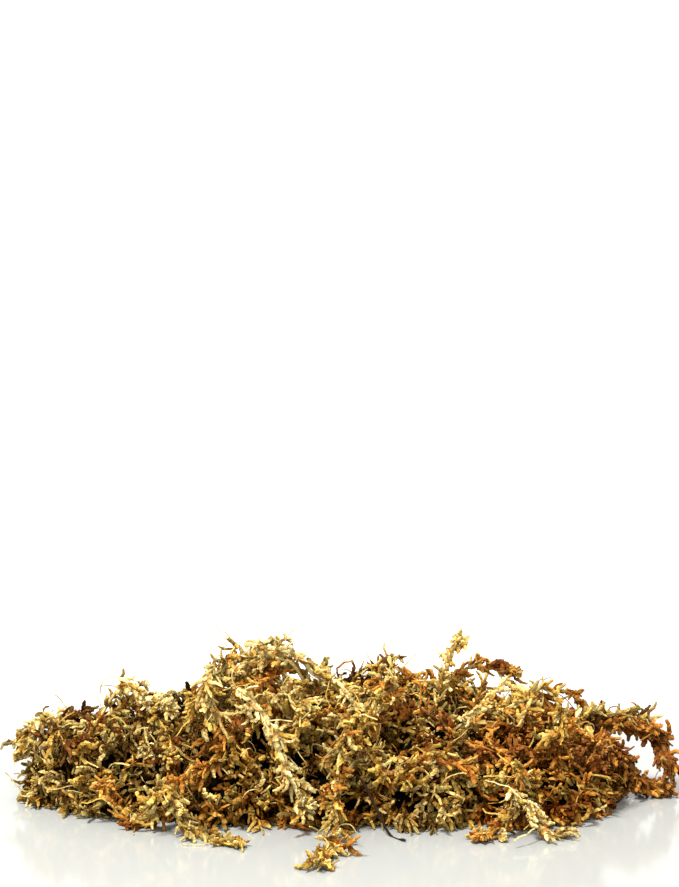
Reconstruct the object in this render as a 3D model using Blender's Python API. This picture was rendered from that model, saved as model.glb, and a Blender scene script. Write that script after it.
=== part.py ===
"""A clump of dried long-fibre sphagnum moss: matted tufts with leafy strands draped over them.

Sizes are in millimetres in this script and become metres when a mesh is made. +Z is up, +X runs
along the clump and -Y is its front. The clump is laid down as a real heap is: tufts first, then
one strand after another, each resting on what already lies there.
"""

import math

import bmesh
import bpy
import numpy as np

MM = 0.001
MERGE = 0.003
UNION_WAYS = (
    ("MANIFOLD", "BEAUTY"),
    ("MANIFOLD", "EAR_CLIP"),
    ("EXACT", "BEAUTY"),
    ("EXACT", "EAR_CLIP"),
)
SEED = 23

# The matted heap, as overlapping domes: middle x, y, half length, half width, height
DOMES = (
    (-16.0, -1.0, 60.0, 39.0, 28.5),
    (-60.0, -2.0, 27.0, 28.0, 20.0),
    (14.0, -2.0, 46.0, 40.0, 27.0),
    (48.0, -12.0, 28.0, 28.0, 18.0),
    (54.0, 6.0, 27.0, 25.0, 14.0),
)
DOME_POWER = 0.85

# Where the matted tufts stand, seen from above. Each fills the ground that is nearest to it.
TUFT_PLACES = (
    (-73.0, -3.0),
    (-54.0, -14.0),
    (-51.0, 13.0),
    (-28.0, -19.0),
    (-23.0, 16.0),
    (-1.0, -20.0),
    (8.0, 16.0),
    (24.0, -20.0),
    (36.0, 12.0),
    (49.0, -20.0),
    (62.0, 3.0),
)
TUFT_COLOURS = (
    "olive", "olive", "umber", "gold", "olive", "gold", "umber", "olive", "umber", "orange", "russet",
)
TUFT_GAP = 0.5
TUFT_FARTHEST = 60.0
TUFT_STEP = 0.25
TUFT_SIDES = 14
TUFT_RINGS = (0.4, 0.76)
TUFT_GROOVE = 4.5
TUFT_LUMP = 1.6
TUFT_DENT = 2.2
TUFT_EDGE_HEIGHT = 2.2
TUFT_FOOT = 0.45
TUFT_UNDERCUT = 0.9
TUFT_LIFT = 1.2
TUFT_SPRIGS = 20
SPRIG_LENGTH = (11.0, 16.0)
SPRIG_RADIUS = (1.7, 2.5)
SPRIG_ROOT = 3.5
SPRIG_LEAN = 1.3
SPRIG_DROOP = 0.6
CROWN_SHORTER = 0.35
SPRIG_TRIES = 15

# Laying down: the gap kept between pieces, and the grid of heights seen from above
GAP = 0.3
CELL = 0.3
CELL_SLACK = 0.2
FIELD = (-108.0, 108.0, -96.0, 60.0)
BEAD_STEP = 0.8
CURVE_STEPS = 12
DRAPE_STEP = 1.2
DRAPE_ROUNDS = 16
STEEPEST = 1.4
LIFT_ROUNDS = 3
ROOTED_SHARE = 0.45

# A strand is a rope of hanging branches round its stem, with branches that stand off it
ROPE_STRAY = 0.6
ROPE_SIDES = 4
ROPE_ROOT = 0.6
ROPE_END = 0.5
BRANCH_SIDES = 3
BRANCH_STEP = 4.6
BRANCH_SPREAD = 42.0
SPREAD_VARIES = 10.0
TURN_VARIES = 12.0
LENGTH_VARIES = (0.8, 1.2)
BRANCH_SUNK = 0.7
BRANCH_FORWARD = 0.3
BRANCH_DROOP = 0.7
BELLY = 0.55
BRANCH_TURNS = (85.0, -80.0, 25.0, -95.0, 70.0, -30.0)
BRANCH_RISE = 3.0
NEARLY_UPRIGHT = 0.95
HEAD_CORE = 0.55
HEAD_TIP = 0.5
HEAD_SPRIGS = 6
HEAD_SLOPES = (48.0, 12.0)
HEAD_VARIES = 0.2
HEAD_BELLY = 0.8
HEAD_REACH = 1.4
HEAD_WIDTH = 0.34

COLOURS = {
    "straw": (0.62, 0.47, 0.17),
    "cream": (0.76, 0.63, 0.29),
    "gold": (0.60, 0.38, 0.09),
    "olive": (0.36, 0.30, 0.11),
    "orange": (0.50, 0.23, 0.06),
    "russet": (0.33, 0.12, 0.04),
    "umber": (0.16, 0.09, 0.04),
}
ROUGHNESS = 0.85

# Strands seen one by one, in the order in which they lie. Each route is x, y and the least
# height of its middle, where 0 lets it rest on the heap: name, colour, rope radius,
# branch length, branch radius, head radius, route
STRANDS = (
    ("dark_twig", "umber", 0.6, 0.0, 0.0, 0.0,
     ((1.0, -36.0, 0.0), (7.0, -40.0, 0.0), (12.0, -44.0, 0.0), (17.0, -51.0, 0.0))),
    ("floor_strand_right", "russet", 1.27, 6.7, 1.38, 3.6,
     ((70.0, -9.0, 0.0), (80.0, -9.0, 0.0), (89.0, -6.0, 0.0))),
    ("russet_arch", "russet", 1.42, 7.8, 1.49, 0.0,
     ((57.0, 3.0, 0.0), (70.0, 3.0, 18.0), (80.0, 2.0, 19.5), (88.0, 1.0, 15.0),
      (91.5, -2.0, 8.0))),
    ("left_tip_curl_high", "gold", 0.83, 5.6, 1.15, 0.0,
     ((-72.0, 2.0, 0.0), (-82.0, 0.0, 17.0), (-91.0, -1.0, 14.0))),
    ("left_tip_curl_low", "straw", 0.9, 5.6, 1.15, 2.4,
     ((-70.0, -8.0, 0.0), (-81.0, -8.0, 10.0), (-88.0, -5.0, 7.0))),
    ("pale_stem_left", "straw", 0.83, 5.6, 1.03, 0.0,
     ((-70.0, -18.0, 0.0), (-67.0, -12.0, 0.0), (-60.0, -10.0, 0.0), (-52.0, -12.0, 0.0))),
    ("cream_sprig_left", "cream", 1.42, 6.7, 1.49, 3.0,
     ((-60.0, -14.0, 0.0), (-53.0, -17.0, 0.0), (-46.0, -21.0, 0.0))),
    ("golden_sprig_left", "gold", 1.27, 7.8, 1.49, 2.8,
     ((-28.0, -10.0, 0.0), (-34.0, -17.0, 0.0), (-39.0, -24.0, 0.0))),
    ("hanging_fan", "straw", 1.05, 11.2, 1.49, 0.0,
     ((-33.0, -19.0, 0.0), (-35.0, -25.0, 0.0), (-35.0, -31.0, 0.0))),
    ("olive_stem", "olive", 1.12, 6.7, 1.26, 0.0,
     ((0.0, -24.0, 0.0), (8.0, -18.5, 0.0), (13.0, -8.0, 0.0), (14.0, 4.0, 0.0))),
    ("orange_band", "orange", 1.35, 7.8, 1.49, 2.8,
     ((-12.0, -23.0, 0.0), (2.0, -25.5, 0.0), (14.0, -23.0, 0.0))),
    ("hanging_sprig", "straw", 1.2, 7.8, 1.26, 0.0,
     ((-14.0, -18.0, 0.0), (-14.0, -26.0, 0.0), (-10.0, -33.0, 0.0))),
    ("pale_stems_ridge", "cream", 1.05, 5.6, 1.03, 0.0,
     ((-26.0, -9.0, 0.0), (-18.0, -12.0, 0.0), (-8.0, -12.0, 0.0), (3.0, -17.0, 0.0))),
    ("orange_strand_low", "orange", 1.27, 8.4, 1.38, 0.0,
     ((2.0, -31.0, 0.0), (9.0, -37.0, 0.0), (22.0, -36.0, 0.0), (33.0, -33.0, 0.0))),
    ("trailing_strand", "gold", 1.35, 7.8, 1.49, 3.2,
     ((15.0, -20.0, 0.0), (8.0, -29.0, 0.0), (1.0, -37.0, 0.0), (-1.0, -46.0, 0.0),
      (-1.0, -57.0, 0.0), (-4.0, -74.0, 0.0))),
    ("cream_fall", "cream", 1.58, 9.0, 1.49, 3.4,
     ((-27.0, -27.0, 0.0), (-20.0, -32.0, 0.0), (-13.0, -38.0, 0.0), (-9.0, -42.0, 0.0))),
    ("golden_crown_right", "gold", 1.5, 8.4, 1.61, 4.0,
     ((38.0, -8.0, 0.0), (44.0, -12.0, 0.0), (51.0, -15.0, 0.0))),
    ("russet_heads_front", "russet", 1.27, 6.7, 1.49, 4.0,
     ((54.0, -20.0, 0.0), (62.0, -21.0, 0.0), (69.0, -17.0, 0.0))),
    ("russet_heads_low", "russet", 1.27, 6.7, 1.49, 4.2,
     ((52.0, -28.0, 0.0), (60.0, -29.0, 0.0), (69.0, -24.0, 0.0))),
    ("curled_sprig_right", "gold", 0.9, 5.6, 1.15, 0.0,
     ((48.0, -25.0, 0.0), (56.0, -21.0, 0.0), (61.0, -26.0, 0.0), (55.0, -30.0, 0.0))),
    ("pale_stem_right", "cream", 0.9, 6.2, 1.15, 0.0,
     ((26.0, -16.0, 0.0), (34.0, -13.0, 0.0), (41.0, -10.0, 30.0), (47.0, -9.0, 28.0))),
    ("upright_frond", "straw", 0.68, 4.5, 1.03, 2.2,
     ((26.0, -12.0, 0.0), (30.0, -5.0, 40.0), (33.0, -2.0, 46.0))),
    ("umber_tuft_top", "orange", 1.12, 7.3, 1.38, 3.0,
     ((28.0, 2.0, 0.0), (36.0, 2.0, 37.0), (43.0, 1.0, 35.0), (48.0, 1.0, 34.0))),
    ("arching_stem", "orange", 0.68, 5.6, 1.15, 0.0,
     ((48.0, 6.0, 0.0), (56.0, 5.0, 29.0), (63.0, 4.0, 34.0), (67.0, 4.0, 29.0),
      (69.0, 4.0, 0.0))),
    ("pale_strand_right", "straw", 0.75, 5.6, 0.92, 0.0,
     ((56.0, -5.0, 0.0), (66.0, -3.0, 0.0), (76.0, 1.0, 0.0), (86.0, 2.0, 0.0))),
    ("orange_runner", "orange", 1.2, 6.2, 1.38, 3.4,
     ((-38.0, -36.0, 0.0), (-46.0, -39.0, 0.0), (-55.0, -37.0, 0.0), (-62.0, -32.0, 0.0))),
    ("pale_runner", "straw", 0.75, 5.6, 0.92, 1.8,
     ((-54.0, -42.0, 0.0), (-44.0, -43.0, 0.0), (-35.0, -49.0, 0.0), (-25.0, -56.0, 0.0))),
    ("front_tangle_right", "orange", 1.05, 5.6, 1.26, 2.8,
     ((43.0, -29.0, 0.0), (46.0, -38.0, 0.0), (43.0, -46.0, 0.0), (36.0, -51.0, 0.0))),
    ("pale_fan_right", "cream", 0.83, 6.7, 1.03, 0.0,
     ((44.0, -44.0, 0.0), (50.0, -49.0, 0.0), (58.0, -48.0, 0.0))),
)

# The last small moves, which bring strands that lie loose against what carries them: how far in
# x, y and z, and how much of its height over the ground a strand keeps
NESTLED = {
    "umber_tuft_top": ((0.44, 0.32, -0.59), 1.0),
    "hanging_fan": ((-0.36, 0.44, -0.41), 1.0),
    "orange_runner": ((-0.55, 0.35, 0.0), 0.95),
    "pale_runner": ((-0.55, 0.35, 0.0), 0.95),
    "front_tangle_right": ((0.4, 0.22, 0.0), 0.96),
    "pale_fan_right": ((0.4, 0.22, 0.0), 0.96),
}

# Strands laid first, at random, each over the barest ground that a few tries find
STRAND_STREAM = 100
FILL_COUNT = 18
FILL_TRIES = 14
FILL_LENGTH = (42.0, 66.0)
FILL_BEND = 0.2
FILL_LEAST = 4
FILL_STEP = 8.0
FILL_FIELD = (-84.0, 78.0, -36.0, 34.0)
FILL_SWATH = 7.0
FILL_BESIDE = 0.7
BARE_ABOVE = 1.0
COVERED = 0.25
FILL_ROPE = (1.2, 1.5)
FILL_BRANCH = (7.5, 9.5)
FILL_BRANCH_RADIUS = 1.5
FILL_HEAD = 3.2
FILL_COLOURS = (
    (-38.0, ("olive", "gold", "straw", "umber")),
    (36.0, ("gold", "straw", "orange", "olive")),
    (999.0, ("russet", "orange", "umber", "gold")),
)


def heap_height(x, y):
    """Height of the matted heap above a point of the ground, and zero outside it."""
    tallest = np.zeros(np.broadcast(x, y).shape)
    for middle_x, middle_y, half_x, half_y, height in DOMES:
        spread = ((x - middle_x) / half_x) ** 2 + ((y - middle_y) / half_y) ** 2
        dome = height * np.clip(1.0 - spread, 0.0, 1.0) ** DOME_POWER
        tallest = np.maximum(tallest, dome)
    return tallest


def unit(vector):
    """The vector made one long."""
    return vector / max(np.linalg.norm(vector), 1e-9)


def beads(middles, radii):
    """Balls along a limb, as x, y, z and radius, and where each lies: its stretch and share."""
    balls, stretch, share = [], [], []
    for k in range(len(middles) - 1):
        count = max(int(np.linalg.norm(middles[k + 1] - middles[k]) / BEAD_STEP), 1)
        for t in np.arange(count + 1) / count:
            middle = middles[k] * (1.0 - t) + middles[k + 1] * t
            balls.append((*middle, radii[k] * (1.0 - t) + radii[k + 1] * t))
            stretch.append(k)
            share.append(t)
    return np.array(balls), np.array(stretch), np.array(share)


class Pile:
    """How high the clump is so far, over small cells of the ground."""

    def __init__(self):
        self.corner = np.array((FIELD[0], FIELD[2]))
        long, wide = FIELD[1] - FIELD[0], FIELD[3] - FIELD[2]
        self.top = np.full((int(long / CELL), int(wide / CELL)), -GAP)

    def cells(self, balls, grown):
        """The cells round each ball, how far they are from it, and its radius with room added."""
        most = int(math.ceil((balls[:, 3].max() + grown) / CELL)) + 1
        steps = np.arange(-most, most + 1)
        offsets = np.stack(np.meshgrid(steps, steps, indexing="ij"), -1).reshape(-1, 2)
        middle = np.floor((balls[:, :2] - self.corner) / CELL).astype(int)
        cells = np.clip(middle[:, None] + offsets[None], 0, np.array(self.top.shape) - 1)
        away = np.linalg.norm((cells + 0.5) * CELL + self.corner - balls[:, None, :2], axis=2)
        away = np.maximum(away - CELL_SLACK, 0.0)
        return cells[..., 0], cells[..., 1], away, balls[:, 3:4] + grown

    def rest(self, balls):
        """The least height at which each ball clears all that lies there."""
        i, j, away, reach = self.cells(balls, GAP)
        bulge = np.sqrt(np.maximum(reach**2 - away**2, 0.0))
        return np.where(away < reach, self.top[i, j] + bulge, -np.inf).max(axis=1)

    def add(self, balls):
        """Counts the balls among what lies there."""
        i, j, away, reach = self.cells(balls, 0.0)
        inside = away < reach
        bulge = np.sqrt(np.maximum(reach**2 - away**2, 0.0))
        np.maximum.at(self.top, (i[inside], j[inside]), (balls[:, 2:3] + bulge)[inside])


def lift_clear(middles, radii, pile, held=0):
    """Raises the middles of a limb, apart from the first few that are held, clear of the pile."""
    middles = middles.copy()
    for _ in range(LIFT_ROUNDS):
        balls, stretch, share = beads(middles, radii)
        short = np.maximum(pile.rest(balls) - balls[:, 2], 0.0)
        back, ahead = 1.0 - share, share
        if held:
            rooted = stretch < held
            short = np.where(rooted & (share < ROOTED_SHARE), 0.0, short)
            back = np.where(rooted, 0.0, back)
        even = back**2 + ahead**2 + 1e-9
        lift = np.zeros(len(middles))
        np.maximum.at(lift, stretch, short * back / even)
        np.maximum.at(lift, stretch + 1, short * ahead / even)
        middles[:, 2] += lift
    return middles


def smooth_curve(points):
    """Points along the smooth curve that runs through the given ones (Catmull-Rom)."""
    points = np.asarray(points, float)
    padded = np.vstack((2 * points[0] - points[1], points, 2 * points[-1] - points[-2]))
    curve = []
    for a, b, c, d in zip(padded, padded[1:], padded[2:], padded[3:]):
        for t in np.arange(CURVE_STEPS) / CURVE_STEPS:
            straight = 2 * b + (c - a) * t
            bend = (2 * a - 5 * b + 4 * c - d) * t**2 + (3 * b - a - 3 * c + d) * t**3
            curve.append((straight + bend) / 2)
    return np.vstack((curve, points[-1:]))


def spaced(curve, step):
    """Points evenly along a curve, about a step apart by their first three values."""
    lengths = np.linalg.norm(np.diff(curve[:, :3], axis=0), axis=1)
    run = np.concatenate(((0.0,), np.cumsum(lengths)))
    count = max(int(round(run[-1] / step)), 2)
    places = np.linspace(0.0, run[-1], count + 1)
    return np.stack([np.interp(places, run, column) for column in curve.T], axis=1)


def hang(least, wanted, apart):
    """Heights that clear the least ones, sag no steeper than a strand can, and run smoothly."""
    heights = np.maximum(least, wanted)
    for _ in range(DRAPE_ROUNDS):
        inner = 0.5 * heights[1:-1] + 0.25 * (heights[:-2] + heights[2:])
        heights[1:-1] = np.maximum(least[1:-1], inner)
    drop = STEEPEST * apart
    for k in range(1, len(heights)):
        heights[k] = max(heights[k], heights[k - 1] - drop[k - 1])
    for k in range(len(heights) - 2, -1, -1):
        heights[k] = max(heights[k], heights[k + 1] - drop[k])
    return heights


def thinned(points, most):
    """The places of the points that a line keeps where it may stray by the given distance."""
    if len(points) < 3:
        return list(range(len(points)))
    line = points[-1] - points[0]
    share = np.clip((points - points[0]) @ line / (line @ line), 0.0, 1.0)
    stray = np.linalg.norm(points - points[0] - share[:, None] * line, axis=1)
    worst = int(stray.argmax())
    if stray[worst] <= most:
        return [0, len(points) - 1]
    before, after = thinned(points[:worst + 1], most), thinned(points[worst:], most)
    return before + [place + worst for place in after[1:]]


def lay_rope(route, radius, head, pile):
    """The middles of a strand's rope, draped over the pile, and its radii."""
    route = np.array(route, float)
    balls = np.column_stack((route, np.full(len(route), radius)))
    lying = np.maximum(pile.rest(balls), route[:, 2])
    aloft = (route[:, 2] > 0.0).astype(float)
    dense = spaced(smooth_curve(np.column_stack((route[:, :2], lying, aloft))), DRAPE_STEP)
    middles, aloft = dense[:, :3].copy(), np.clip(dense[:, 3], 0.0, 1.0)
    radii = np.full(len(middles), radius)
    if head:
        radii[-2:] = head * HEAD_CORE
    least = pile.rest(np.column_stack((middles, radii)))
    wanted = aloft * middles[:, 2] + (1.0 - aloft) * least
    middles[:, 2] = hang(least, wanted, np.linalg.norm(np.diff(middles[:, :2], axis=0), axis=1))
    kept = thinned(middles, ROPE_STRAY)
    middles, radii = middles[kept], np.full(len(kept), radius)
    radii[0] *= ROPE_ROOT
    radii[-1] = head * HEAD_CORE if head else ROPE_END * radius
    middles = lift_clear(middles, radii, pile)
    if head:
        beyond = unit((middles[-1] - middles[-2]) * (1.0, 1.0, 0.0)) * HEAD_TIP * head
        middles = np.vstack((middles, middles[-1] + beyond))
        radii = np.append(radii, radii[-1] * HEAD_TIP)
    return middles, radii


def lay_branch(root, sunk, along, turn, spread, length, radius, pile):
    """The middles and radii of one branch of a strand, or None where it would have to climb."""
    up = np.array((0.0, 0.0, 1.0))
    upright = abs(along[2]) >= NEARLY_UPRIGHT
    beside = np.array((0.0, 1.0, 0.0)) if upright else unit(np.cross(up, along))
    above = np.cross(along, beside)
    outward = math.cos(turn) * above + math.sin(turn) * beside
    start = math.cos(spread) * along + math.sin(spread) * outward
    end = unit(start + BRANCH_FORWARD * along - BRANCH_DROOP * up)
    belly = root + BELLY * length * start
    middles = np.array((root, belly, belly + (1.0 - BELLY) * length * end))
    radii = np.array((0.0, radius, 0.0))
    middles = lift_clear(middles, radii, pile, held=1)
    climbs = middles[:, 2].max() - root[2] > BRANCH_RISE
    middles[0] -= sunk * unit(middles[1] - root)
    return None if climbs else (middles, radii)


def lay_branches(middles, spec, stream, pile):
    """The branches that stand off a strand's rope, one after another round it."""
    _, _, radius, length, thickness, _, _ = spec
    branches = []
    dense = spaced(middles, BRANCH_STEP)
    offset = int(stream.integers(len(BRANCH_TURNS)))
    for k in range(1, len(dense) - 1):
        along = unit(dense[k + 1] - dense[k - 1])
        turn = BRANCH_TURNS[(k + offset) % len(BRANCH_TURNS)] + stream.normal(0.0, TURN_VARIES)
        spread = BRANCH_SPREAD + stream.normal(0.0, SPREAD_VARIES)
        long = length * stream.uniform(*LENGTH_VARIES)
        turn, spread = math.radians(turn), math.radians(spread)
        sunk = BRANCH_SUNK * radius
        branch = lay_branch(dense[k], sunk, along, turn, spread, long, thickness, pile)
        if branch:
            branches.append(branch)
    return branches


def lay_head(core, head, stream, pile):
    """The short sprigs that stand out all round the core of a strand's head."""
    sprigs = []
    for k in range(HEAD_SPRIGS):
        around = 2.0 * math.pi * (k + stream.uniform(-HEAD_VARIES, HEAD_VARIES)) / HEAD_SPRIGS
        slope = math.radians(HEAD_SLOPES[k % 2])
        flat = np.array((math.cos(around), math.sin(around), 0.0)) * math.cos(slope)
        out = head * (flat + np.array((0.0, 0.0, math.sin(slope))))
        ends = np.array((core, core + HEAD_BELLY * out, core + HEAD_REACH * out))
        widths = head * np.array((0.0, HEAD_WIDTH, 0.0))
        sprigs.append((lift_clear(ends, widths, pile, held=1), widths))
    return sprigs


def lay_strand(spec, stream, pile):
    """The limbs of a strand as middles and radii: its rope, its branches and its head's sprigs."""
    name, _, radius, length, _, head, route = spec
    middles, radii = lay_rope(route, radius, head, pile)
    branches = lay_branches(middles, spec, stream, pile) if length else []
    sprigs = lay_head(middles[-2], head, stream, pile) if head else []
    every = np.vstack([beads(*limb)[0] for limb in [(middles, radii)] + branches + sprigs])
    sink = (pile.rest(every) - every[:, 2]).max()
    pile.add(every + (0.0, 0.0, sink, 0.0))
    move, kept = NESTLED.get(name, ((0.0, 0.0, 0.0), 1.0))

    def settled(points):
        return (points + (0.0, 0.0, sink)) * (1.0, 1.0, kept) + move

    branches = [(settled(points), widths) for points, widths in branches]
    sprigs = [(settled(points), widths) for points, widths in sprigs]
    return (settled(middles), radii), branches, sprigs


def bare_ground(route, pile, bare):
    """How much bare ground a route passes over or beside."""
    points = spaced(smooth_curve(route), FILL_SWATH / 2)
    steps = np.array((-1.0, 0.0, 1.0)) * FILL_SWATH * FILL_BESIDE
    around = np.stack(np.meshgrid(steps, steps), -1).reshape(-1, 2)
    spots = (points[:, None, :2] + around[None]).reshape(-1, 2)
    cells = np.floor((spots - pile.corner) / CELL).astype(int)
    return bare[cells[:, 0], cells[:, 1]].sum()


def wander(stream):
    """A gently bending route at random, which ends where it would leave the heap."""
    route = []
    while len(route) < FILL_LEAST:
        x, y = stream.uniform(*FILL_FIELD[:2]), stream.uniform(*FILL_FIELD[2:])
        heading = stream.uniform(0.0, 2.0 * math.pi)
        bend = stream.normal(0.0, FILL_BEND)
        route = []
        for _ in range(int(stream.uniform(*FILL_LENGTH) / FILL_STEP)):
            if heap_height(x, y) <= 0.0:
                break
            route.append((x, y, 0.0))
            heading += bend + stream.normal(0.0, FILL_BEND)
            x += FILL_STEP * math.cos(heading)
            y += FILL_STEP * math.sin(heading)
    return route


def fill_spec(index, stream, pile, bare):
    """A strand at random, along the one of a few routes that covers the barest ground."""
    routes = [wander(stream) for _ in range(FILL_TRIES)]
    route = max(routes, key=lambda one: bare_ground(one, pile, bare))
    middle_x = np.mean([x for x, _, _ in route])
    choice = next(names for limit, names in FILL_COLOURS if middle_x < limit)
    colour = choice[index % len(choice)]
    head = FILL_HEAD if index % 3 == 0 else 0.0
    rope = stream.uniform(*FILL_ROPE)
    length = stream.uniform(*FILL_BRANCH)
    return (f"draped_strand_{index + 1:02d}", colour, rope, length, FILL_BRANCH_RADIUS, head, route)


def tuft_reach(index, angle):
    """How far a tuft reaches in a direction: to the middle way to the next, or the heap's rim."""
    place = np.array(TUFT_PLACES[index])
    along = np.array((math.cos(angle), math.sin(angle)))
    reach = TUFT_FARTHEST
    for other in TUFT_PLACES[:index] + TUFT_PLACES[index + 1:]:
        apart = np.array(other) - place
        toward = along @ apart
        if toward > 0.0:
            far = np.linalg.norm(apart)
            reach = min(reach, (far / 2 - TUFT_GAP / 2) * far / toward)
    steps = np.arange(0.0, reach, TUFT_STEP)
    heights = heap_height(place[0] + steps * along[0], place[1] + steps * along[1])
    low = heights < TUFT_EDGE_HEIGHT
    return steps[low.argmax()] if low.any() else reach


def tuft_shape(index, stream):
    """Rings of points of a matted tuft, from its foot up over its sides to its crown."""
    place = np.array(TUFT_PLACES[index])
    angles = 2.0 * math.pi * np.arange(TUFT_SIDES) / TUFT_SIDES
    reach = np.array([tuft_reach(index, angle) for angle in angles])
    around = np.column_stack((np.cos(angles), np.sin(angles)))

    def ring(share, heights):
        dent = stream.uniform(0.0, TUFT_DENT, TUFT_SIDES) * (share > TUFT_FOOT)
        flat = place + around * (reach * share - dent)[:, None]
        return np.column_stack((flat, heights(flat)))

    def crown(flat):
        return heap_height(*flat.T) + stream.normal(0.0, TUFT_LUMP, TUFT_SIDES)

    def edge(flat):
        return np.maximum(heap_height(*flat.T) - TUFT_GROOVE, TUFT_EDGE_HEIGHT)

    rings = [
        ring(TUFT_FOOT, lambda flat: np.zeros(TUFT_SIDES)),
        ring(TUFT_UNDERCUT, lambda flat: np.full(TUFT_SIDES, TUFT_LIFT)),
        ring(1.0, edge),
        ring(TUFT_RINGS[1], crown),
        ring(TUFT_RINGS[0], crown),
    ]
    foot = np.array((*place, 0.0))
    peak = np.array((*place, heap_height(*place) + stream.uniform(0.0, TUFT_LUMP)))
    return foot, rings, peak


def tuft_faces(rings):
    """Triangles of a tuft's points, which are its foot's middle, its rings and its peak."""
    last = 1 + len(rings) * TUFT_SIDES
    faces = []
    for side in range(TUFT_SIDES):
        after = (side + 1) % TUFT_SIDES
        faces.append((0, 1 + after, 1 + side))
        for level in range(len(rings) - 1):
            a, b = 1 + level * TUFT_SIDES + side, 1 + level * TUFT_SIDES + after
            faces += [(a, b, b + TUFT_SIDES), (a, b + TUFT_SIDES, a + TUFT_SIDES)]
        faces.append((last - TUFT_SIDES + side, last - TUFT_SIDES + after, last))
    return faces


def within_tuft(point, radius, index):
    """Whether a ball keeps to the ground of its own tuft."""
    place = np.array(TUFT_PLACES[index])
    for other in TUFT_PLACES[:index] + TUFT_PLACES[index + 1:]:
        apart = unit(np.array(other) - place)
        halfway = (np.array(other) + place) / 2
        if (point[:2] - halfway) @ apart > -(radius + TUFT_GAP / 2):
            return False
    return point[2] >= radius


def tuft_sprigs(index, points, faces, stream):
    """Short branches that stand out of a tuft's sides and crown, rooted under its surface."""
    corners = points[np.array(faces)]
    crosses = np.cross(corners[:, 1] - corners[:, 0], corners[:, 2] - corners[:, 0])
    areas = np.linalg.norm(crosses, axis=1) * (crosses[:, 2] >= 0.0)
    sprigs = []
    for _ in range(TUFT_SPRIGS * SPRIG_TRIES):
        if len(sprigs) == TUFT_SPRIGS:
            break
        face = int(stream.choice(len(faces), p=areas / areas.sum()))
        normal = unit(crosses[face])
        mix = stream.dirichlet((1.0, 1.0, 1.0))
        root = mix @ corners[face] - SPRIG_ROOT * normal
        out = unit(normal + SPRIG_LEAN * unit(stream.normal(0.0, 1.0, 3)))
        length = stream.uniform(*SPRIG_LENGTH) * (1.0 - CROWN_SHORTER * normal[2])
        belly = root + BELLY * length * out
        tip = belly + (1.0 - BELLY) * length * unit(out - (0.0, 0.0, SPRIG_DROOP))
        middles = np.array((root, belly, tip))
        radii = np.array((0.0, stream.uniform(*SPRIG_RADIUS), 0.0))
        if all(within_tuft(point, radius, index) for point, radius in zip(middles, radii)):
            sprigs.append((middles, radii))
    return sprigs


def triangle_dots(points, faces):
    """Small balls over the triangles of a mesh, close enough to cover it."""
    dots = []
    for a, b, c in points[np.array(faces)]:
        longest = max(np.linalg.norm(b - a), np.linalg.norm(c - a), np.linalg.norm(c - b))
        count = int(longest / CELL) + 1
        grid = np.arange(count + 1) / count
        u, v = [side.ravel() for side in np.meshgrid(grid, grid)]
        u, v = u[u + v <= 1.0001], v[u + v <= 1.0001]
        dots.append(a + u[:, None] * (b - a) + v[:, None] * (c - a))
    dots = np.vstack(dots)
    return np.column_stack((dots, np.full(len(dots), CELL / 2)))


def lay_clump():
    """Every tuft and strand in its place, as points and limbs."""
    pile = Pile()
    tufts, strands = [], []
    for index in range(len(TUFT_PLACES)):
        stream = np.random.default_rng((SEED, index))
        foot, rings, peak = tuft_shape(index, stream)
        points = np.vstack((foot, *rings, peak))
        faces = tuft_faces(rings)
        sprigs = tuft_sprigs(index, points, faces, stream)
        tufts.append((f"matted_tuft_{index + 1:02d}", points, faces, sprigs))
        pile.add(triangle_dots(points, faces))
    for _, _, _, sprigs in tufts:
        pile.add(np.vstack([beads(*limb)[0] for limb in sprigs]))
    x, y = np.indices(pile.top.shape) * CELL + pile.corner[:, None, None]
    heights = heap_height(x, y)
    slope = np.hypot(*np.gradient(heights, CELL))
    bare = np.where(heights > BARE_ABOVE, np.hypot(1.0, slope), 0.0)
    stream = np.random.default_rng((SEED, STRAND_STREAM))
    for index in range(FILL_COUNT):
        spec = fill_spec(index, stream, pile, bare)
        before = pile.top.copy()
        strands.append((spec, lay_strand(spec, stream, pile)))
        bare = np.where(pile.top > before, bare * COVERED, bare)
    for spec in STRANDS:
        strands.append((spec, lay_strand(spec, stream, pile)))
    return tufts, strands


def limb_mesh(middles, radii, sides):
    """Points and triangles of a limb with flat sides, closed at both ends."""
    last = len(middles) - 1
    across = np.array((0.0, 0.0, 1.0))
    points, faces = [], []
    for k, middle in enumerate(middles):
        along = unit(middles[min(k + 1, last)] - middles[max(k - 1, 0)])
        across = across - along * (across @ along)
        if np.linalg.norm(across) < 0.1:
            across = np.cross(along, (1.0, 0.0, 0.0))
        across = unit(across)
        beside = np.cross(along, across)
        for side in range(sides):
            angle = 2.0 * math.pi * side / sides
            points.append(middle + radii[k] * (math.cos(angle) * across + math.sin(angle) * beside))
    for side in range(sides):
        after = (side + 1) % sides
        for k in range(last):
            a, b = k * sides + side, k * sides + after
            faces += [(a, b, b + sides), (a, b + sides, a + sides)]
    end = last * sides
    for side in range(1, sides - 1):
        faces.append((0, side + 1, side))
        faces.append((end, end + side, end + side + 1))
    return np.array(points), faces


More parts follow.
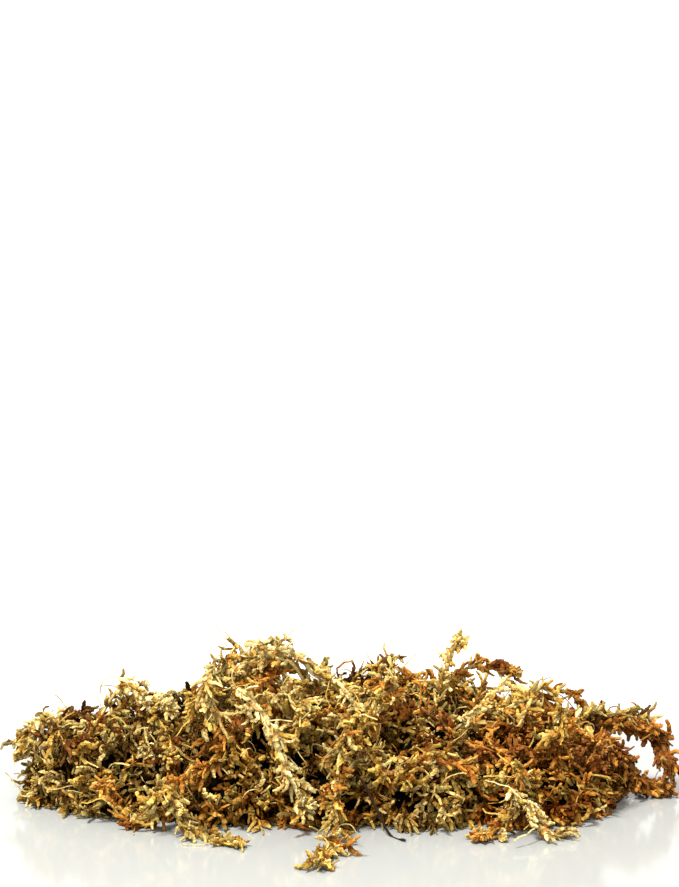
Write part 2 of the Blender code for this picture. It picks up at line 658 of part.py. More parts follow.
def spindle_mesh(middles, radii):
    """Points and triangles of a short branch, pointed at its root and its tip."""
    root, belly, tip = middles
    along = unit(tip - root)
    across = unit(np.cross(along, (0.0, 0.0, 1.0)) + np.array((1e-3, 0.0, 0.0)))
    beside = np.cross(along, across)
    angles = 2.0 * math.pi * np.arange(BRANCH_SIDES) / BRANCH_SIDES
    ring = belly + radii[1] * (
        np.cos(angles)[:, None] * across + np.sin(angles)[:, None] * beside
    )
    faces = []
    for side in range(BRANCH_SIDES):
        after = (side + 1) % BRANCH_SIDES
        faces.append((0, 2 + after, 2 + side))
        faces.append((1, 2 + side, 2 + after))
    return np.vstack((root, tip, ring)), faces


def add_object(name, points, faces, material=None):
    """A new object in the scene from points in millimetres."""
    mesh = bpy.data.meshes.new(name)
    mesh.from_pydata([tuple(point) for point in np.asarray(points) * MM], [], faces)
    if material:
        mesh.materials.append(material)
    thing = bpy.data.objects.new(name, mesh)
    bpy.context.scene.collection.objects.link(thing)
    return thing


def largest_skin(mesh, method):
    """Drops closed pockets and strays, splits the faces into triangles, and counts bad edges."""
    shape = bmesh.new()
    shape.from_mesh(mesh)
    bmesh.ops.remove_doubles(shape, verts=shape.verts, dist=MERGE * MM)
    bmesh.ops.dissolve_degenerate(shape, edges=shape.edges, dist=MERGE * MM)
    unseen, groups = set(shape.faces), []
    while unseen:
        group, border = set(), [next(iter(unseen))]
        while border:
            face = border.pop()
            if face in group:
                continue
            group.add(face)
            border += [near for edge in face.edges for near in edge.link_faces]
        groups.append(group)
        unseen -= group
    groups.sort(key=len, reverse=True)
    strays = [face for group in groups[1:] for face in group]
    bmesh.ops.delete(shape, geom=strays, context="FACES")
    bmesh.ops.triangulate(shape, faces=shape.faces, ngon_method=method)
    bad = sum(len(edge.link_faces) != 2 for edge in shape.edges)
    shape.to_mesh(mesh)
    shape.free()
    return bad


def union_of(thing, alone, limbs, solver, method):
    """Gives an object the union of its own mesh and some limbs. It says whether one skin is left."""
    thing.data = alone.copy()
    union = thing.modifiers.new("union", "BOOLEAN")
    union.operation = "UNION"
    union.operand_type = "COLLECTION"
    union.collection = limbs
    union.solver = solver
    with bpy.context.temp_override(object=thing):
        bpy.ops.object.modifier_apply(modifier=union.name)
    return largest_skin(thing.data, method) == 0


def fuse(thing, shapes):
    """Joins shapes to an object with one union. A shape that spoils the skin is left out."""
    limbs = bpy.data.collections.new(thing.name + "_limbs")
    bpy.context.scene.collection.children.link(limbs)
    for points, faces in shapes:
        piece = add_object(thing.name + "_limb", points, faces)
        bpy.context.scene.collection.objects.unlink(piece)
        limbs.objects.link(piece)
    alone = thing.data
    while limbs.objects:
        if any(union_of(thing, alone, limbs, *way) for way in UNION_WAYS):
            break
        bpy.data.meshes.remove(limbs.objects[-1].data)
    thing.data.name = thing.name
    for piece in list(limbs.objects):
        bpy.data.meshes.remove(piece.data)
    bpy.data.collections.remove(limbs)


def moss_material(colour):
    """A plain matt material in one of the clump's colours."""
    material = bpy.data.materials.new("moss_" + colour)
    material.use_nodes = True
    shader = material.node_tree.nodes["Principled BSDF"]
    shader.inputs["Base Color"].default_value = (*COLOURS[colour], 1.0)
    shader.inputs["Roughness"].default_value = ROUGHNESS
    material.diffuse_color = (*COLOURS[colour], 1.0)
    return material


def build():
    """Clears the scene and models the clump."""
    for thing in list(bpy.data.objects):
        bpy.data.objects.remove(thing)
    tufts, strands = lay_clump()
    materials = {colour: moss_material(colour) for colour in COLOURS}
    made = []
    for index, (name, points, faces, sprigs) in enumerate(tufts):
        thing = add_object(name, points, faces, materials[TUFT_COLOURS[index]])
        fuse(thing, [spindle_mesh(*sprig) for sprig in sprigs])
        made.append(thing)
    for spec, (rope, branches, sprigs) in strands:
        thing = add_object(spec[0], *limb_mesh(*rope, ROPE_SIDES), materials[spec[1]])
        if branches:
            fuse(thing, [spindle_mesh(*branch) for branch in branches + sprigs])
        made.append(thing)
    centre(made)


def centre(things):
    """Moves the meshes so that the clump stands on the middle of its ground."""
    corners = np.array([vert.co[:] for thing in things for vert in thing.data.vertices])
    middle = (corners.min(axis=0) + corners.max(axis=0)) / 2
    for thing in things:
        for vert in thing.data.vertices:
            vert.co.x -= middle[0]
            vert.co.y -= middle[1]


if __name__ == "__main__":
    build()
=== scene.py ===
"""The clump of dried sphagnum moss with its fine branches, on a pale floor.

The clump is laid down as its solids are, and every tuft and strand then grows its fine branches.
Sizes are in millimetres and become metres when a mesh is made.
"""

import math

import bpy
import numpy as np
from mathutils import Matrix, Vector
from numpy.linalg import norm


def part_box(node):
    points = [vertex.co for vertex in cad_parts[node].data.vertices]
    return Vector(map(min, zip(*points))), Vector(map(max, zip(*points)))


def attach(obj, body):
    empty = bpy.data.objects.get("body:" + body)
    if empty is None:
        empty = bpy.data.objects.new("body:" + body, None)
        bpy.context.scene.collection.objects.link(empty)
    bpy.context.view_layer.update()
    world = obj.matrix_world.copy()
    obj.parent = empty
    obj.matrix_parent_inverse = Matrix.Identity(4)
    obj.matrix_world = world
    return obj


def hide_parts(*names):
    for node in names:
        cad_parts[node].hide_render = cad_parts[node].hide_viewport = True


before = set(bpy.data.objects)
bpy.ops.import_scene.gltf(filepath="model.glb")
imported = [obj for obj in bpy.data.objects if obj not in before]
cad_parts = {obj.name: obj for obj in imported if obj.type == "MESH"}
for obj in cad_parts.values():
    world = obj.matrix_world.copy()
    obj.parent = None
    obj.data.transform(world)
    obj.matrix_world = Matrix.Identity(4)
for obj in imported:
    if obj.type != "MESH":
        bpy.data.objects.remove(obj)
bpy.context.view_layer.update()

MM = 0.001
TINY = 1e-9
TURN = 2.0 * math.pi
SEED = 23

# The matted heap, as overlapping domes: middle x, y, half length, half width, height
DOMES = (
    (-16, -1, 60, 39, 28.5),
    (-60, -2, 27, 28, 20),
    (14, -2, 46, 40, 27),
    (48, -12, 28, 28, 18),
    (54, 6, 27, 25, 14),
)
DOME_POWER = 0.85

# Where the matted tufts stand, seen from above. Each fills the ground that is nearest to it.
TUFT_PLACES = (
    (-73, -3), (-54, -14), (-51, 13), (-28, -19),
    (-23, 16), (-1, -20), (8, 16), (24, -20),
    (36, 12), (49, -20), (62, 3),
)
TUFT_COLOURS = "olive olive umber gold olive gold umber olive umber orange russet".split()
TUFT_GAP = 0.5
TUFT_FARTHEST = 60
TUFT_STEP = 0.25
TUFT_SIDES = 14
TUFT_RINGS = (0.4, 0.76)
TUFT_GROOVE = 4.5
TUFT_LUMP = 1.6
TUFT_DENT = 2.2
TUFT_EDGE_HEIGHT = 2.2
TUFT_FOOT = 0.45
TUFT_UNDERCUT = 0.9
TUFT_LIFT = 1.2
TUFT_SPRIGS = 20
SPRIG_LENGTH = (11, 16)
SPRIG_RADIUS = (1.7, 2.5)
SPRIG_ROOT = 3.5
SPRIG_LEAN = 1.3
SPRIG_DROOP = 0.6
CROWN_SHORTER = 0.35
SPRIG_TRIES = 15

# Laying down: the gap kept between pieces, and the grid of heights seen from above
GAP = 0.3
CELL = 0.3
CELL_SLACK = 0.2
WHOLE = 1.0001
FIELD = (-108, 108, -96, 60)
BEAD_STEP = 0.8
CURVE_STEPS = 12
DRAPE_STEP = 1.2
DRAPE_ROUNDS = 16
SMOOTHING = 0.25
STEEPEST = 1.4
LIFT_ROUNDS = 3
ROOTED_SHARE = 0.45

# A strand is a rope of hanging branches round its stem, with branches that stand off it
ROPE_STRAY = 0.6
ROPE_SIDES = 4
ROPE_ROOT = 0.6
ROPE_END = 0.5
BRANCH_STEP = 4.6
BRANCH_SPREAD = 42
SPREAD_VARIES = 10
TURN_VARIES = 12
LENGTH_VARIES = (0.8, 1.2)
BRANCH_SUNK = 0.7
BRANCH_FORWARD = 0.3
BRANCH_DROOP = 0.7
BELLY = 0.55
BRANCH_TURNS = (85, -80, 25, -95, 70, -30)
BRANCH_RISE = 3.0
NEARLY_UPRIGHT = 0.95
NEARLY_ALONG = 0.1
HEAD_CORE = 0.55
HEAD_TIP = 0.5
HEAD_SPRIGS = 6
HEAD_SLOPES = (48, 12)
HEAD_VARIES = 0.2
HEAD_BELLY = 0.8
HEAD_REACH = 1.4
HEAD_WIDTH = 0.34

COLOURS = {
    "straw": (0.62, 0.47, 0.17),
    "cream": (0.76, 0.63, 0.29),
    "gold": (0.60, 0.38, 0.09),
    "olive": (0.36, 0.30, 0.11),
    "orange": (0.50, 0.23, 0.06),
    "russet": (0.33, 0.12, 0.04),
    "umber": (0.16, 0.09, 0.04),
}

# Strands seen one by one, in the order in which they lie: name, colour, rope radius, branch
# length, branch radius, head radius and route. A route's places are x and y, where it rests on
# the heap, or x, y and the least height of its middle
STRANDS = (
    ("dark_twig", "umber", 0.6, 0, 0, 0, ((1, -36), (7, -40), (12, -44), (17, -51))),
    ("floor_strand_right", "russet", 1.27, 6.7, 1.38, 3.6, ((70, -9), (80, -9), (89, -6))),
    ("russet_arch", "russet", 1.42, 7.8, 1.49, 0,
     ((57, 3), (70, 3, 18), (80, 2, 19.5), (88, 1, 15), (91.5, -2, 8))),
    ("left_tip_curl_high", "gold", 0.83, 5.6, 1.15, 0, ((-72, 2), (-82, 0, 17), (-91, -1, 14))),
    ("left_tip_curl_low", "straw", 0.9, 5.6, 1.15, 2.4, ((-70, -8), (-81, -8, 10), (-88, -5, 7))),
    ("pale_stem_left", "straw", 0.83, 5.6, 1.03, 0,
     ((-70, -18), (-67, -12), (-60, -10), (-52, -12))),
    ("cream_sprig_left", "cream", 1.42, 6.7, 1.49, 3, ((-60, -14), (-53, -17), (-46, -21))),
    ("golden_sprig_left", "gold", 1.27, 7.8, 1.49, 2.8, ((-28, -10), (-34, -17), (-39, -24))),
    ("hanging_fan", "straw", 1.05, 11.2, 1.49, 0, ((-33, -19), (-35, -25), (-35, -31))),
    ("olive_stem", "olive", 1.12, 6.7, 1.26, 0, ((0, -24), (8, -18.5), (13, -8), (14, 4))),
    ("orange_band", "orange", 1.35, 7.8, 1.49, 2.8, ((-12, -23), (2, -25.5), (14, -23))),
    ("hanging_sprig", "straw", 1.2, 7.8, 1.26, 0, ((-14, -18), (-14, -26), (-10, -33))),
    ("pale_stems_ridge", "cream", 1.05, 5.6, 1.03, 0,
     ((-26, -9), (-18, -12), (-8, -12), (3, -17))),
    ("orange_strand_low", "orange", 1.27, 8.4, 1.38, 0,
     ((2, -31), (9, -37), (22, -36), (33, -33))),
    ("trailing_strand", "gold", 1.35, 7.8, 1.49, 3.2,
     ((15, -20), (8, -29), (1, -37), (-1, -46), (-1, -57), (-4, -74))),
    ("cream_fall", "cream", 1.58, 9, 1.49, 3.4, ((-27, -27), (-20, -32), (-13, -38), (-9, -42))),
    ("golden_crown_right", "gold", 1.5, 8.4, 1.61, 4, ((38, -8), (44, -12), (51, -15))),
    ("russet_heads_front", "russet", 1.27, 6.7, 1.49, 4, ((54, -20), (62, -21), (69, -17))),
    ("russet_heads_low", "russet", 1.27, 6.7, 1.49, 4.2, ((52, -28), (60, -29), (69, -24))),
    ("curled_sprig_right", "gold", 0.9, 5.6, 1.15, 0,
     ((48, -25), (56, -21), (61, -26), (55, -30))),
    ("pale_stem_right", "cream", 0.9, 6.2, 1.15, 0,
     ((26, -16), (34, -13), (41, -10, 30), (47, -9, 28))),
    ("upright_frond", "straw", 0.68, 4.5, 1.03, 2.2, ((26, -12), (30, -5, 40), (33, -2, 46))),
    ("umber_tuft_top", "orange", 1.12, 7.3, 1.38, 3,
     ((28, 2), (36, 2, 37), (43, 1, 35), (48, 1, 34))),
    ("arching_stem", "orange", 0.68, 5.6, 1.15, 0,
     ((48, 6), (56, 5, 29), (63, 4, 34), (67, 4, 29), (69, 4))),
    ("pale_strand_right", "straw", 0.75, 5.6, 0.92, 0, ((56, -5), (66, -3), (76, 1), (86, 2))),
    ("orange_runner", "orange", 1.2, 6.2, 1.38, 3.4,
     ((-38, -36), (-46, -39), (-55, -37), (-62, -32))),
    ("pale_runner", "straw", 0.75, 5.6, 0.92, 1.8,
     ((-54, -42), (-44, -43), (-35, -49), (-25, -56))),
    ("front_tangle_right", "orange", 1.05, 5.6, 1.26, 2.8,
     ((43, -29), (46, -38), (43, -46), (36, -51))),
    ("pale_fan_right", "cream", 0.83, 6.7, 1.03, 0, ((44, -44), (50, -49), (58, -48))),
)

# The last small moves, which bring strands that lie loose against what carries them: how far in
# x, y and z, and how much of its height over the ground a strand keeps
NESTLED = {
    "umber_tuft_top": ((0.44, 0.32, -0.59), 1),
    "hanging_fan": ((-0.36, 0.44, -0.41), 1),
    "orange_runner": ((-0.55, 0.35, 0), 0.95),
    "pale_runner": ((-0.55, 0.35, 0), 0.95),
    "front_tangle_right": ((0.4, 0.22, 0), 0.96),
    "pale_fan_right": ((0.4, 0.22, 0), 0.96),
}

# Strands laid first, at random, each over the barest ground that a few tries find
STRAND_STREAM = 100
FILL_COUNT = 18
FILL_TRIES = 14
FILL_LENGTH = (42, 66)
FILL_BEND = 0.2
FILL_LEAST = 4
FILL_STEP = 8
FILL_FIELD = (-84, 78, -36, 34)
FILL_SWATH = 7
FILL_BESIDE = 0.7
BARE_ABOVE = 1.0
COVERED = 0.25
FILL_ROPE = (1.2, 1.5)
FILL_BRANCH = (7.5, 9.5)
FILL_BRANCH_RADIUS = 1.5
FILL_HEAD = 3.2
FILL_COLOURS = (
    (-38, ("olive", "gold", "straw", "umber")),
    (36, ("gold", "straw", "orange", "olive")),
    (999, ("russet", "orange", "umber", "gold")),
)

# Fine branches: stacks of whorls of leaves, each narrow where it starts and wide where it ends
FINE_STREAM = 7
LEAF_SIDES, MAT_SIDES = 5, 3
NARROW, WIDE = 0.84, 1.08
WHORL_REACH = 0.74
NECK, NECK_SHARE = 0.5, 0.4
TIP_POWER = 5.0
FLATNESS = (0.45, 0.85)
LEAF_VARIES = ((0.85, 1.1), (0.8, 1.25))
WAG, WAG_TURNS = 2.2, 5.0
SHARP_ANGLE = 38
LONG_BUILD, MAT_BUILD, SHORT_BUILD = (4, LEAF_SIDES), (3, MAT_SIDES), (3, LEAF_SIDES)
SAG = 0.4
BUNCH_WIDTH, BUNCH_LONG = 0.75, 2.2
LIMB_FIRST, LIMB_LAST = 0.2, 0.75

# Tufts: a near-black middle, which is painted shade seen through the gaps between branches, and
# bunches of branches by the square millimetre, darker as painted shade the deeper they are rooted
MIDDLE_DEPTH = 1.2
# Near-black middle: painted shade in the gaps between branches
MIDDLE_PAINTED_SHADE = (0.0015, 0.0008, 0.0004)
TUFT_WALLS, TUFT_FOOT_FACES = 4, 2
RIM_HEIGHT, RIM_SHARE, WALL_SHARE, STEEP_SHARE = 8.0, 1.6, 0.5, 1.3
TUFT_BUNCHES = 0.0393
TUFT_ROOTS = (-0.8, 2.0)
TUFT_RISE, TUFT_HANG = 0.45, 0.3
# Painted shade: bunches rooted deeper in a tuft are darker, down to this share
DEEP_SHADE = 0.25

# The ridge between the two humps, where the bunches stand higher: middle, half widths, rise
RIDGE_PLACE, RIDGE_SPAN, RIDGE_RISE = (8, 6), (15, 12), 3.5

# Patches of another colour on the tufts: x, y, radius, colour
PATCHES = (
    (-50, -17, 6, "cream"),
    (-43, -20, 5, "cream"),
    (-62, 0, 8, "russet"),
    (22, -30, 8, "orange"),
)

# Styles of bunches: how many branches, how far they part, how much they bend, lengths and radii.
# On a short branch of the solids the lengths are shares of that branch's own
TUFT_STYLE = (6, 0.7, 2.5, (3.6, 7.4), (0.45, 0.9))
SPRIG_STYLE = (5, 0.5, 2.6, (0.32, 0.55), (0.5, 0.9))
LIMB_STYLE = (6, 0.55, 2.7, (0.4, 0.68), (0.5, 0.9))
THICK_STYLE = (10, 0.8, 2.4, (0.42, 0.72), (0.6, 1.0))
FINGER_STYLE = (5, 0.3, 0.9, (0.45, 0.75), (0.6, 0.85))
FINGERS = ("hanging_fan", "hanging_sprig", "pale_fan_right")

# Fibres: thin stems that have lost their leaves
TUFT_FIBRES, FIBRE_EVERY = 46, 8
FIBRE_JOINTS, FIBRE_STEP, FIBRE_SIDES = 9, (0.8, 1.5), 3
FIBRE_RADII = (0.13, 0.24)
FIBRE_RISE, FIBRE_CURL, FIBRE_SAG, FIBRE_KINK = 0.6, 0.28, 0.12, 0.2
FIBRE_LOWEST = 0.25

# Strands: a stem, short branches that hang round it, bunches that stand off it, and a head
STEM_STEP = 1.2
STEM_SIDES = 6
LEAFY_STEM, BARE_STEM = 0.4, 0.62
BARE_STEMS = ("pale_stem_left", "pale_stems_ridge", "pale_stem_right", "arching_stem", "olive_stem")
STEM_TINTS = dict(straw="straw", cream="cream", gold="straw", olive="straw")
STEM_TINTS |= dict(orange="gold", russet="orange", umber="gold")
TWIG_VARIES = (0.85, 1.1)
HANG_STEP, BARE_HANG_STEP = 1.45, 4.5
HANG_BUNCH, THICK_HANG_BUNCH = 2, 10
THICK_STRANDS = ("russet_arch", "floor_strand_right")
THICK_DROOP, THICK_LONGER, THICK_WIDER = 0.6, 1.15, 1.25
HANG_ALONG = 1.3
HANG_STRAY = 0.5
HANG_CLOSE = 0.8
HANG_BEND = 1.4
HANG_LENGTH = (3.2, 6.0)
HANG_RADII = (0.48, 0.85)
HEAD_COUNT = 34
HEAD_LOW = 0.35
HEAD_LENGTH = (0.75, 1.25)
HEAD_RADII = (0.5, 0.8)
HEAD_CURL = 0.5
HEAD_TINT = 1.1
TWIG_TINT, TWIG_THIN = (0.02, 0.011, 0.007), 0.6

# Tints, and how they mix in moss of each colour
TINTS = {
    "straw": (0.43, 0.32, 0.11),
    "cream": (0.54, 0.43, 0.18),
    "gold": (0.38, 0.24, 0.05),
    "olive": (0.27, 0.20, 0.055),
    "orange": (0.34, 0.145, 0.024),
    "russet": (0.17, 0.060, 0.013),
    "umber": (0.09, 0.038, 0.010),
}
MIXES = {
    "straw": dict(straw=5, gold=3, olive=2, cream=1),
    "cream": dict(cream=6, straw=3, gold=1),
    "gold": dict(gold=5, straw=2, orange=2, olive=1),
    "olive": dict(olive=4, gold=3, straw=2, umber=1),
    "orange": dict(orange=5, gold=2, russet=2, straw=1),
    "russet": dict(russet=6, orange=3, umber=2, gold=1),
    "umber": dict(umber=3, russet=2, olive=2, gold=2),
}
TINT_VARIES, BUNCH_VARIES, OWN_TINT = 0.16, 0.22, 0.3
# Painted shade: each branch darker toward its root, full brightness from this share of its length
ROOT_SHADE, LIT_FROM = 0.2, 0.6
# Painted shade on the narrow ring of each whorl, tucked under the whorl before, and a lighter wide
# ring
LEAF_SHADES = (0.84, 1.1)
STREAKS = (0.55, 1.3)
# Painted shade turns warmer as it deepens: red darkens least, blue most
SHADE_POWERS = (0.8, 1.15, 1.6)
MOTTLE_SCALE, MOTTLE_DETAIL = 1300.0, 3.0
MOTTLE_FROM, MOTTLE_SPAN = (0.3, 0.7), (0.6, 1.4)
GRAIN_SCALE, GRAIN_DEPTH, GRAIN_STRENGTH = 2600.0, 0.25, 0.6
FINE_ROUGHNESS, FINE_GLOSS = 0.8, 0.02
LOWEST = 0.03
MAP_MARGIN = 0.06

# Stage, in metres, and camera
FLOOR_SIZE, FLOOR_GAP = 60.0, 0.00005
# Floor colour: dark near the clump, as painted shade that offsets the key lamp, and white further out
# where the lamp's light has fallen off
FLOOR_NEAR, FLOOR_FAR, FLOOR_ROUGHNESS = (0.29, 0.295, 0.275, 1.0), (0.95, 0.95, 0.95, 1.0), 0.12
FLOOR_SPAN = (0.1, 0.24)
SURROUND = 1.08
LIGHTS = (
    ("key", (-0.3, -0.4, 0.9), 0.22, 26.0),
    ("fill", (0.6, -0.6, 0.5), 0.6, 2.0),
    ("rim", (0.1, 0.6, 0.7), 0.5, 4.0),
)
LIGHTS_AIM = (0.0, 0.0, 0.02)
LENS, SENSOR, CLIP_START = 87.0, 36.0, 0.01
CAMERA_DISTANCE, CAMERA_RISE, CAMERA_TILT = 0.608, 15.0, 5.81


def heap_height(x, y):
    """Height of the matted heap above a point of the ground, and zero outside it."""
    tallest = np.zeros(np.broadcast(x, y).shape)
    for middle_x, middle_y, half_x, half_y, height in DOMES:
        spread = ((x - middle_x) / half_x) ** 2 + ((y - middle_y) / half_y) ** 2
        dome = height * np.clip(1.0 - spread, 0.0, 1.0) ** DOME_POWER
        tallest = np.maximum(tallest, dome)
    return tallest


def unit(vector):
    """The vector made one long."""
    return vector / max(norm(vector), TINY)


def beads(middles, radii):
    """Balls along a limb, as x, y, z and radius, and where each lies: its stretch and share."""
    balls, stretch, share = [], [], []
    for k in range(len(middles) - 1):
        count = max(int(norm(middles[k + 1] - middles[k]) / BEAD_STEP), 1)
        for t in np.arange(count + 1) / count:
            middle = middles[k] * (1.0 - t) + middles[k + 1] * t
            balls.append((*middle, radii[k] * (1.0 - t) + radii[k + 1] * t))
            stretch.append(k)
            share.append(t)
    return np.array(balls), np.array(stretch), np.array(share)


class Pile:
    """How high the clump is so far, over small cells of the ground."""

    def __init__(self):
        self.corner = np.array((FIELD[0], FIELD[2]))
        long, wide = FIELD[1] - FIELD[0], FIELD[3] - FIELD[2]
        self.top = np.full((int(long / CELL), int(wide / CELL)), -GAP)

    def cells(self, balls, grown):
        """The cells round each ball, how far they are from it, and its radius with room added."""
        most = int(math.ceil((balls[:, 3].max() + grown) / CELL)) + 1
        steps = np.arange(-most, most + 1)
        offsets = np.stack(np.meshgrid(steps, steps, indexing="ij"), -1).reshape(-1, 2)
        middle = np.floor((balls[:, :2] - self.corner) / CELL).astype(int)
        cells = np.clip(middle[:, None] + offsets[None], 0, np.array(self.top.shape) - 1)
        away = norm((cells + 0.5) * CELL + self.corner - balls[:, None, :2], axis=2)
        away = np.maximum(away - CELL_SLACK, 0.0)
        return cells[..., 0], cells[..., 1], away, balls[:, 3:4] + grown

    def rest(self, balls):
        """The least height at which each ball clears all that lies there."""
        i, j, away, reach = self.cells(balls, GAP)
        bulge = np.sqrt(np.maximum(reach**2 - away**2, 0.0))
        return np.where(away < reach, self.top[i, j] + bulge, -np.inf).max(axis=1)

    def add(self, balls):
        """Counts the balls among what lies there."""
        i, j, away, reach = self.cells(balls, 0.0)
        inside = away < reach
        bulge = np.sqrt(np.maximum(reach**2 - away**2, 0.0))
        np.maximum.at(self.top, (i[inside], j[inside]), (balls[:, 2:3] + bulge)[inside])


def lift_clear(middles, radii, pile, held=0):
    """Raises the middles of a limb, apart from the first few that are held, clear of the pile."""
    middles = middles.copy()
    for _ in range(LIFT_ROUNDS):
        balls, stretch, share = beads(middles, radii)
        short = np.maximum(pile.rest(balls) - balls[:, 2], 0.0)
        back, ahead = 1.0 - share, share
        if held:
            rooted = stretch < held
            short = np.where(rooted & (share < ROOTED_SHARE), 0.0, short)
            back = np.where(rooted, 0.0, back)
        even = back**2 + ahead**2 + TINY
        lift = np.zeros(len(middles))
        np.maximum.at(lift, stretch, short * back / even)
        np.maximum.at(lift, stretch + 1, short * ahead / even)
        middles[:, 2] += lift
    return middles


def smooth_curve(points):
    """Points along the smooth curve that runs through the given ones (Catmull-Rom)."""
    points = np.asarray(points, float)
    padded = np.vstack((2 * points[0] - points[1], points, 2 * points[-1] - points[-2]))
    curve = []
    for a, b, c, d in zip(padded, padded[1:], padded[2:], padded[3:]):
        for t in np.arange(CURVE_STEPS) / CURVE_STEPS:
            straight = 2 * b + (c - a) * t
            bend = (2 * a - 5 * b + 4 * c - d) * t**2 + (3 * b - a - 3 * c + d) * t**3
            curve.append((straight + bend) / 2)
    return np.vstack((curve, points[-1:]))


def spaced(curve, step):
    """Points evenly along a curve, about a step apart by their first three values."""
    lengths = norm(np.diff(curve[:, :3], axis=0), axis=1)
    run = np.concatenate(((0.0,), np.cumsum(lengths)))
    count = max(int(round(run[-1] / step)), 2)
    places = np.linspace(0.0, run[-1], count + 1)
    return np.stack([np.interp(places, run, column) for column in curve.T], axis=1)


def hang(least, wanted, apart):
    """Heights that clear the least ones, sag no steeper than a strand can, and run smoothly."""
    heights = np.maximum(least, wanted)
    for _ in range(DRAPE_ROUNDS):
        beside = SMOOTHING * (heights[:-2] + heights[2:])
        inner = (1.0 - 2.0 * SMOOTHING) * heights[1:-1] + beside
        heights[1:-1] = np.maximum(least[1:-1], inner)
    drop = STEEPEST * apart
    for k in range(1, len(heights)):
        heights[k] = max(heights[k], heights[k - 1] - drop[k - 1])
    for k in range(len(heights) - 2, -1, -1):
        heights[k] = max(heights[k], heights[k + 1] - drop[k])
    return heights


def thinned(points, most):
    """The places of the points that a line keeps where it may stray by the given distance."""
    if len(points) < 3:
        return list(range(len(points)))
    line = points[-1] - points[0]
    share = np.clip((points - points[0]) @ line / (line @ line), 0.0, 1.0)
    stray = norm(points - points[0] - share[:, None] * line, axis=1)
    worst = int(stray.argmax())
    if stray[worst] <= most:
        return [0, len(points) - 1]
    before, after = thinned(points[:worst + 1], most), thinned(points[worst:], most)
    return before + [place + worst for place in after[1:]]


def lay_rope(route, radius, head, pile):
    """The middles of a strand's rope, draped over the pile, and its radii."""
    route = np.array([(*place, 0.0)[:3] for place in route], float)
    balls = np.column_stack((route, np.full(len(route), radius)))
    lying = np.maximum(pile.rest(balls), route[:, 2])
    aloft = (route[:, 2] > 0.0).astype(float)
    dense = spaced(smooth_curve(np.column_stack((route[:, :2], lying, aloft))), DRAPE_STEP)
    middles, aloft = dense[:, :3].copy(), np.clip(dense[:, 3], 0.0, 1.0)
    radii = np.full(len(middles), radius)
    if head:
        radii[-2:] = head * HEAD_CORE
    least = pile.rest(np.column_stack((middles, radii)))
    wanted = aloft * middles[:, 2] + (1.0 - aloft) * least
    middles[:, 2] = hang(least, wanted, norm(np.diff(middles[:, :2], axis=0), axis=1))
    kept = thinned(middles, ROPE_STRAY)
    middles, radii = middles[kept], np.full(len(kept), radius)
    radii[0] *= ROPE_ROOT
    radii[-1] = head * HEAD_CORE if head else ROPE_END * radius
    middles = lift_clear(middles, radii, pile)
    if head:
        beyond = unit((middles[-1] - middles[-2]) * (1.0, 1.0, 0.0)) * HEAD_TIP * head
        middles = np.vstack((middles, middles[-1] + beyond))
        radii = np.append(radii, radii[-1] * HEAD_TIP)
    return middles, radii


def lay_branch(root, sunk, along, turn, spread, length, radius, pile):
    """The middles and radii of one branch of a strand, or None where it would have to climb."""
    up = np.array((0.0, 0.0, 1.0))
    upright = abs(along[2]) >= NEARLY_UPRIGHT
    beside = np.array((0.0, 1.0, 0.0)) if upright else unit(np.cross(up, along))
    above = np.cross(along, beside)
    outward = math.cos(turn) * above + math.sin(turn) * beside
    start = math.cos(spread) * along + math.sin(spread) * outward
    end = unit(start + BRANCH_FORWARD * along - BRANCH_DROOP * up)
    belly = root + BELLY * length * start
    middles = np.array((root, belly, belly + (1.0 - BELLY) * length * end))
    radii = np.array((0.0, radius, 0.0))
    middles = lift_clear(middles, radii, pile, held=1)
    climbs = middles[:, 2].max() - root[2] > BRANCH_RISE
    middles[0] -= sunk * unit(middles[1] - root)
    return None if climbs else (middles, radii)


def lay_branches(middles, spec, stream, pile):
    """The branches that stand off a strand's rope, one after another round it."""
    _, _, radius, length, thickness, _, _ = spec
    branches = []
    dense = spaced(middles, BRANCH_STEP)
    offset = int(stream.integers(len(BRANCH_TURNS)))
    for k in range(1, len(dense) - 1):
        along = unit(dense[k + 1] - dense[k - 1])
        turn = BRANCH_TURNS[(k + offset) % len(BRANCH_TURNS)] + stream.normal(0.0, TURN_VARIES)
        spread = BRANCH_SPREAD + stream.normal(0.0, SPREAD_VARIES)
        long = length * stream.uniform(*LENGTH_VARIES)
        turn, spread = math.radians(turn), math.radians(spread)
        sunk = BRANCH_SUNK * radius
        branch = lay_branch(dense[k], sunk, along, turn, spread, long, thickness, pile)
        if branch:
            branches.append(branch)
    return branches


def lay_head(core, head, stream, pile):
    """The short sprigs that stand out all round the core of a strand's head."""
    sprigs = []
    for k in range(HEAD_SPRIGS):
        around = TURN * (k + stream.uniform(-HEAD_VARIES, HEAD_VARIES)) / HEAD_SPRIGS
        slope = math.radians(HEAD_SLOPES[k % 2])
        flat = np.array((math.cos(around), math.sin(around), 0.0)) * math.cos(slope)
        out = head * (flat + np.array((0.0, 0.0, math.sin(slope))))
        ends = np.array((core, core + HEAD_BELLY * out, core + HEAD_REACH * out))
        widths = head * np.array((0.0, HEAD_WIDTH, 0.0))
        sprigs.append((lift_clear(ends, widths, pile, held=1), widths))
    return sprigs


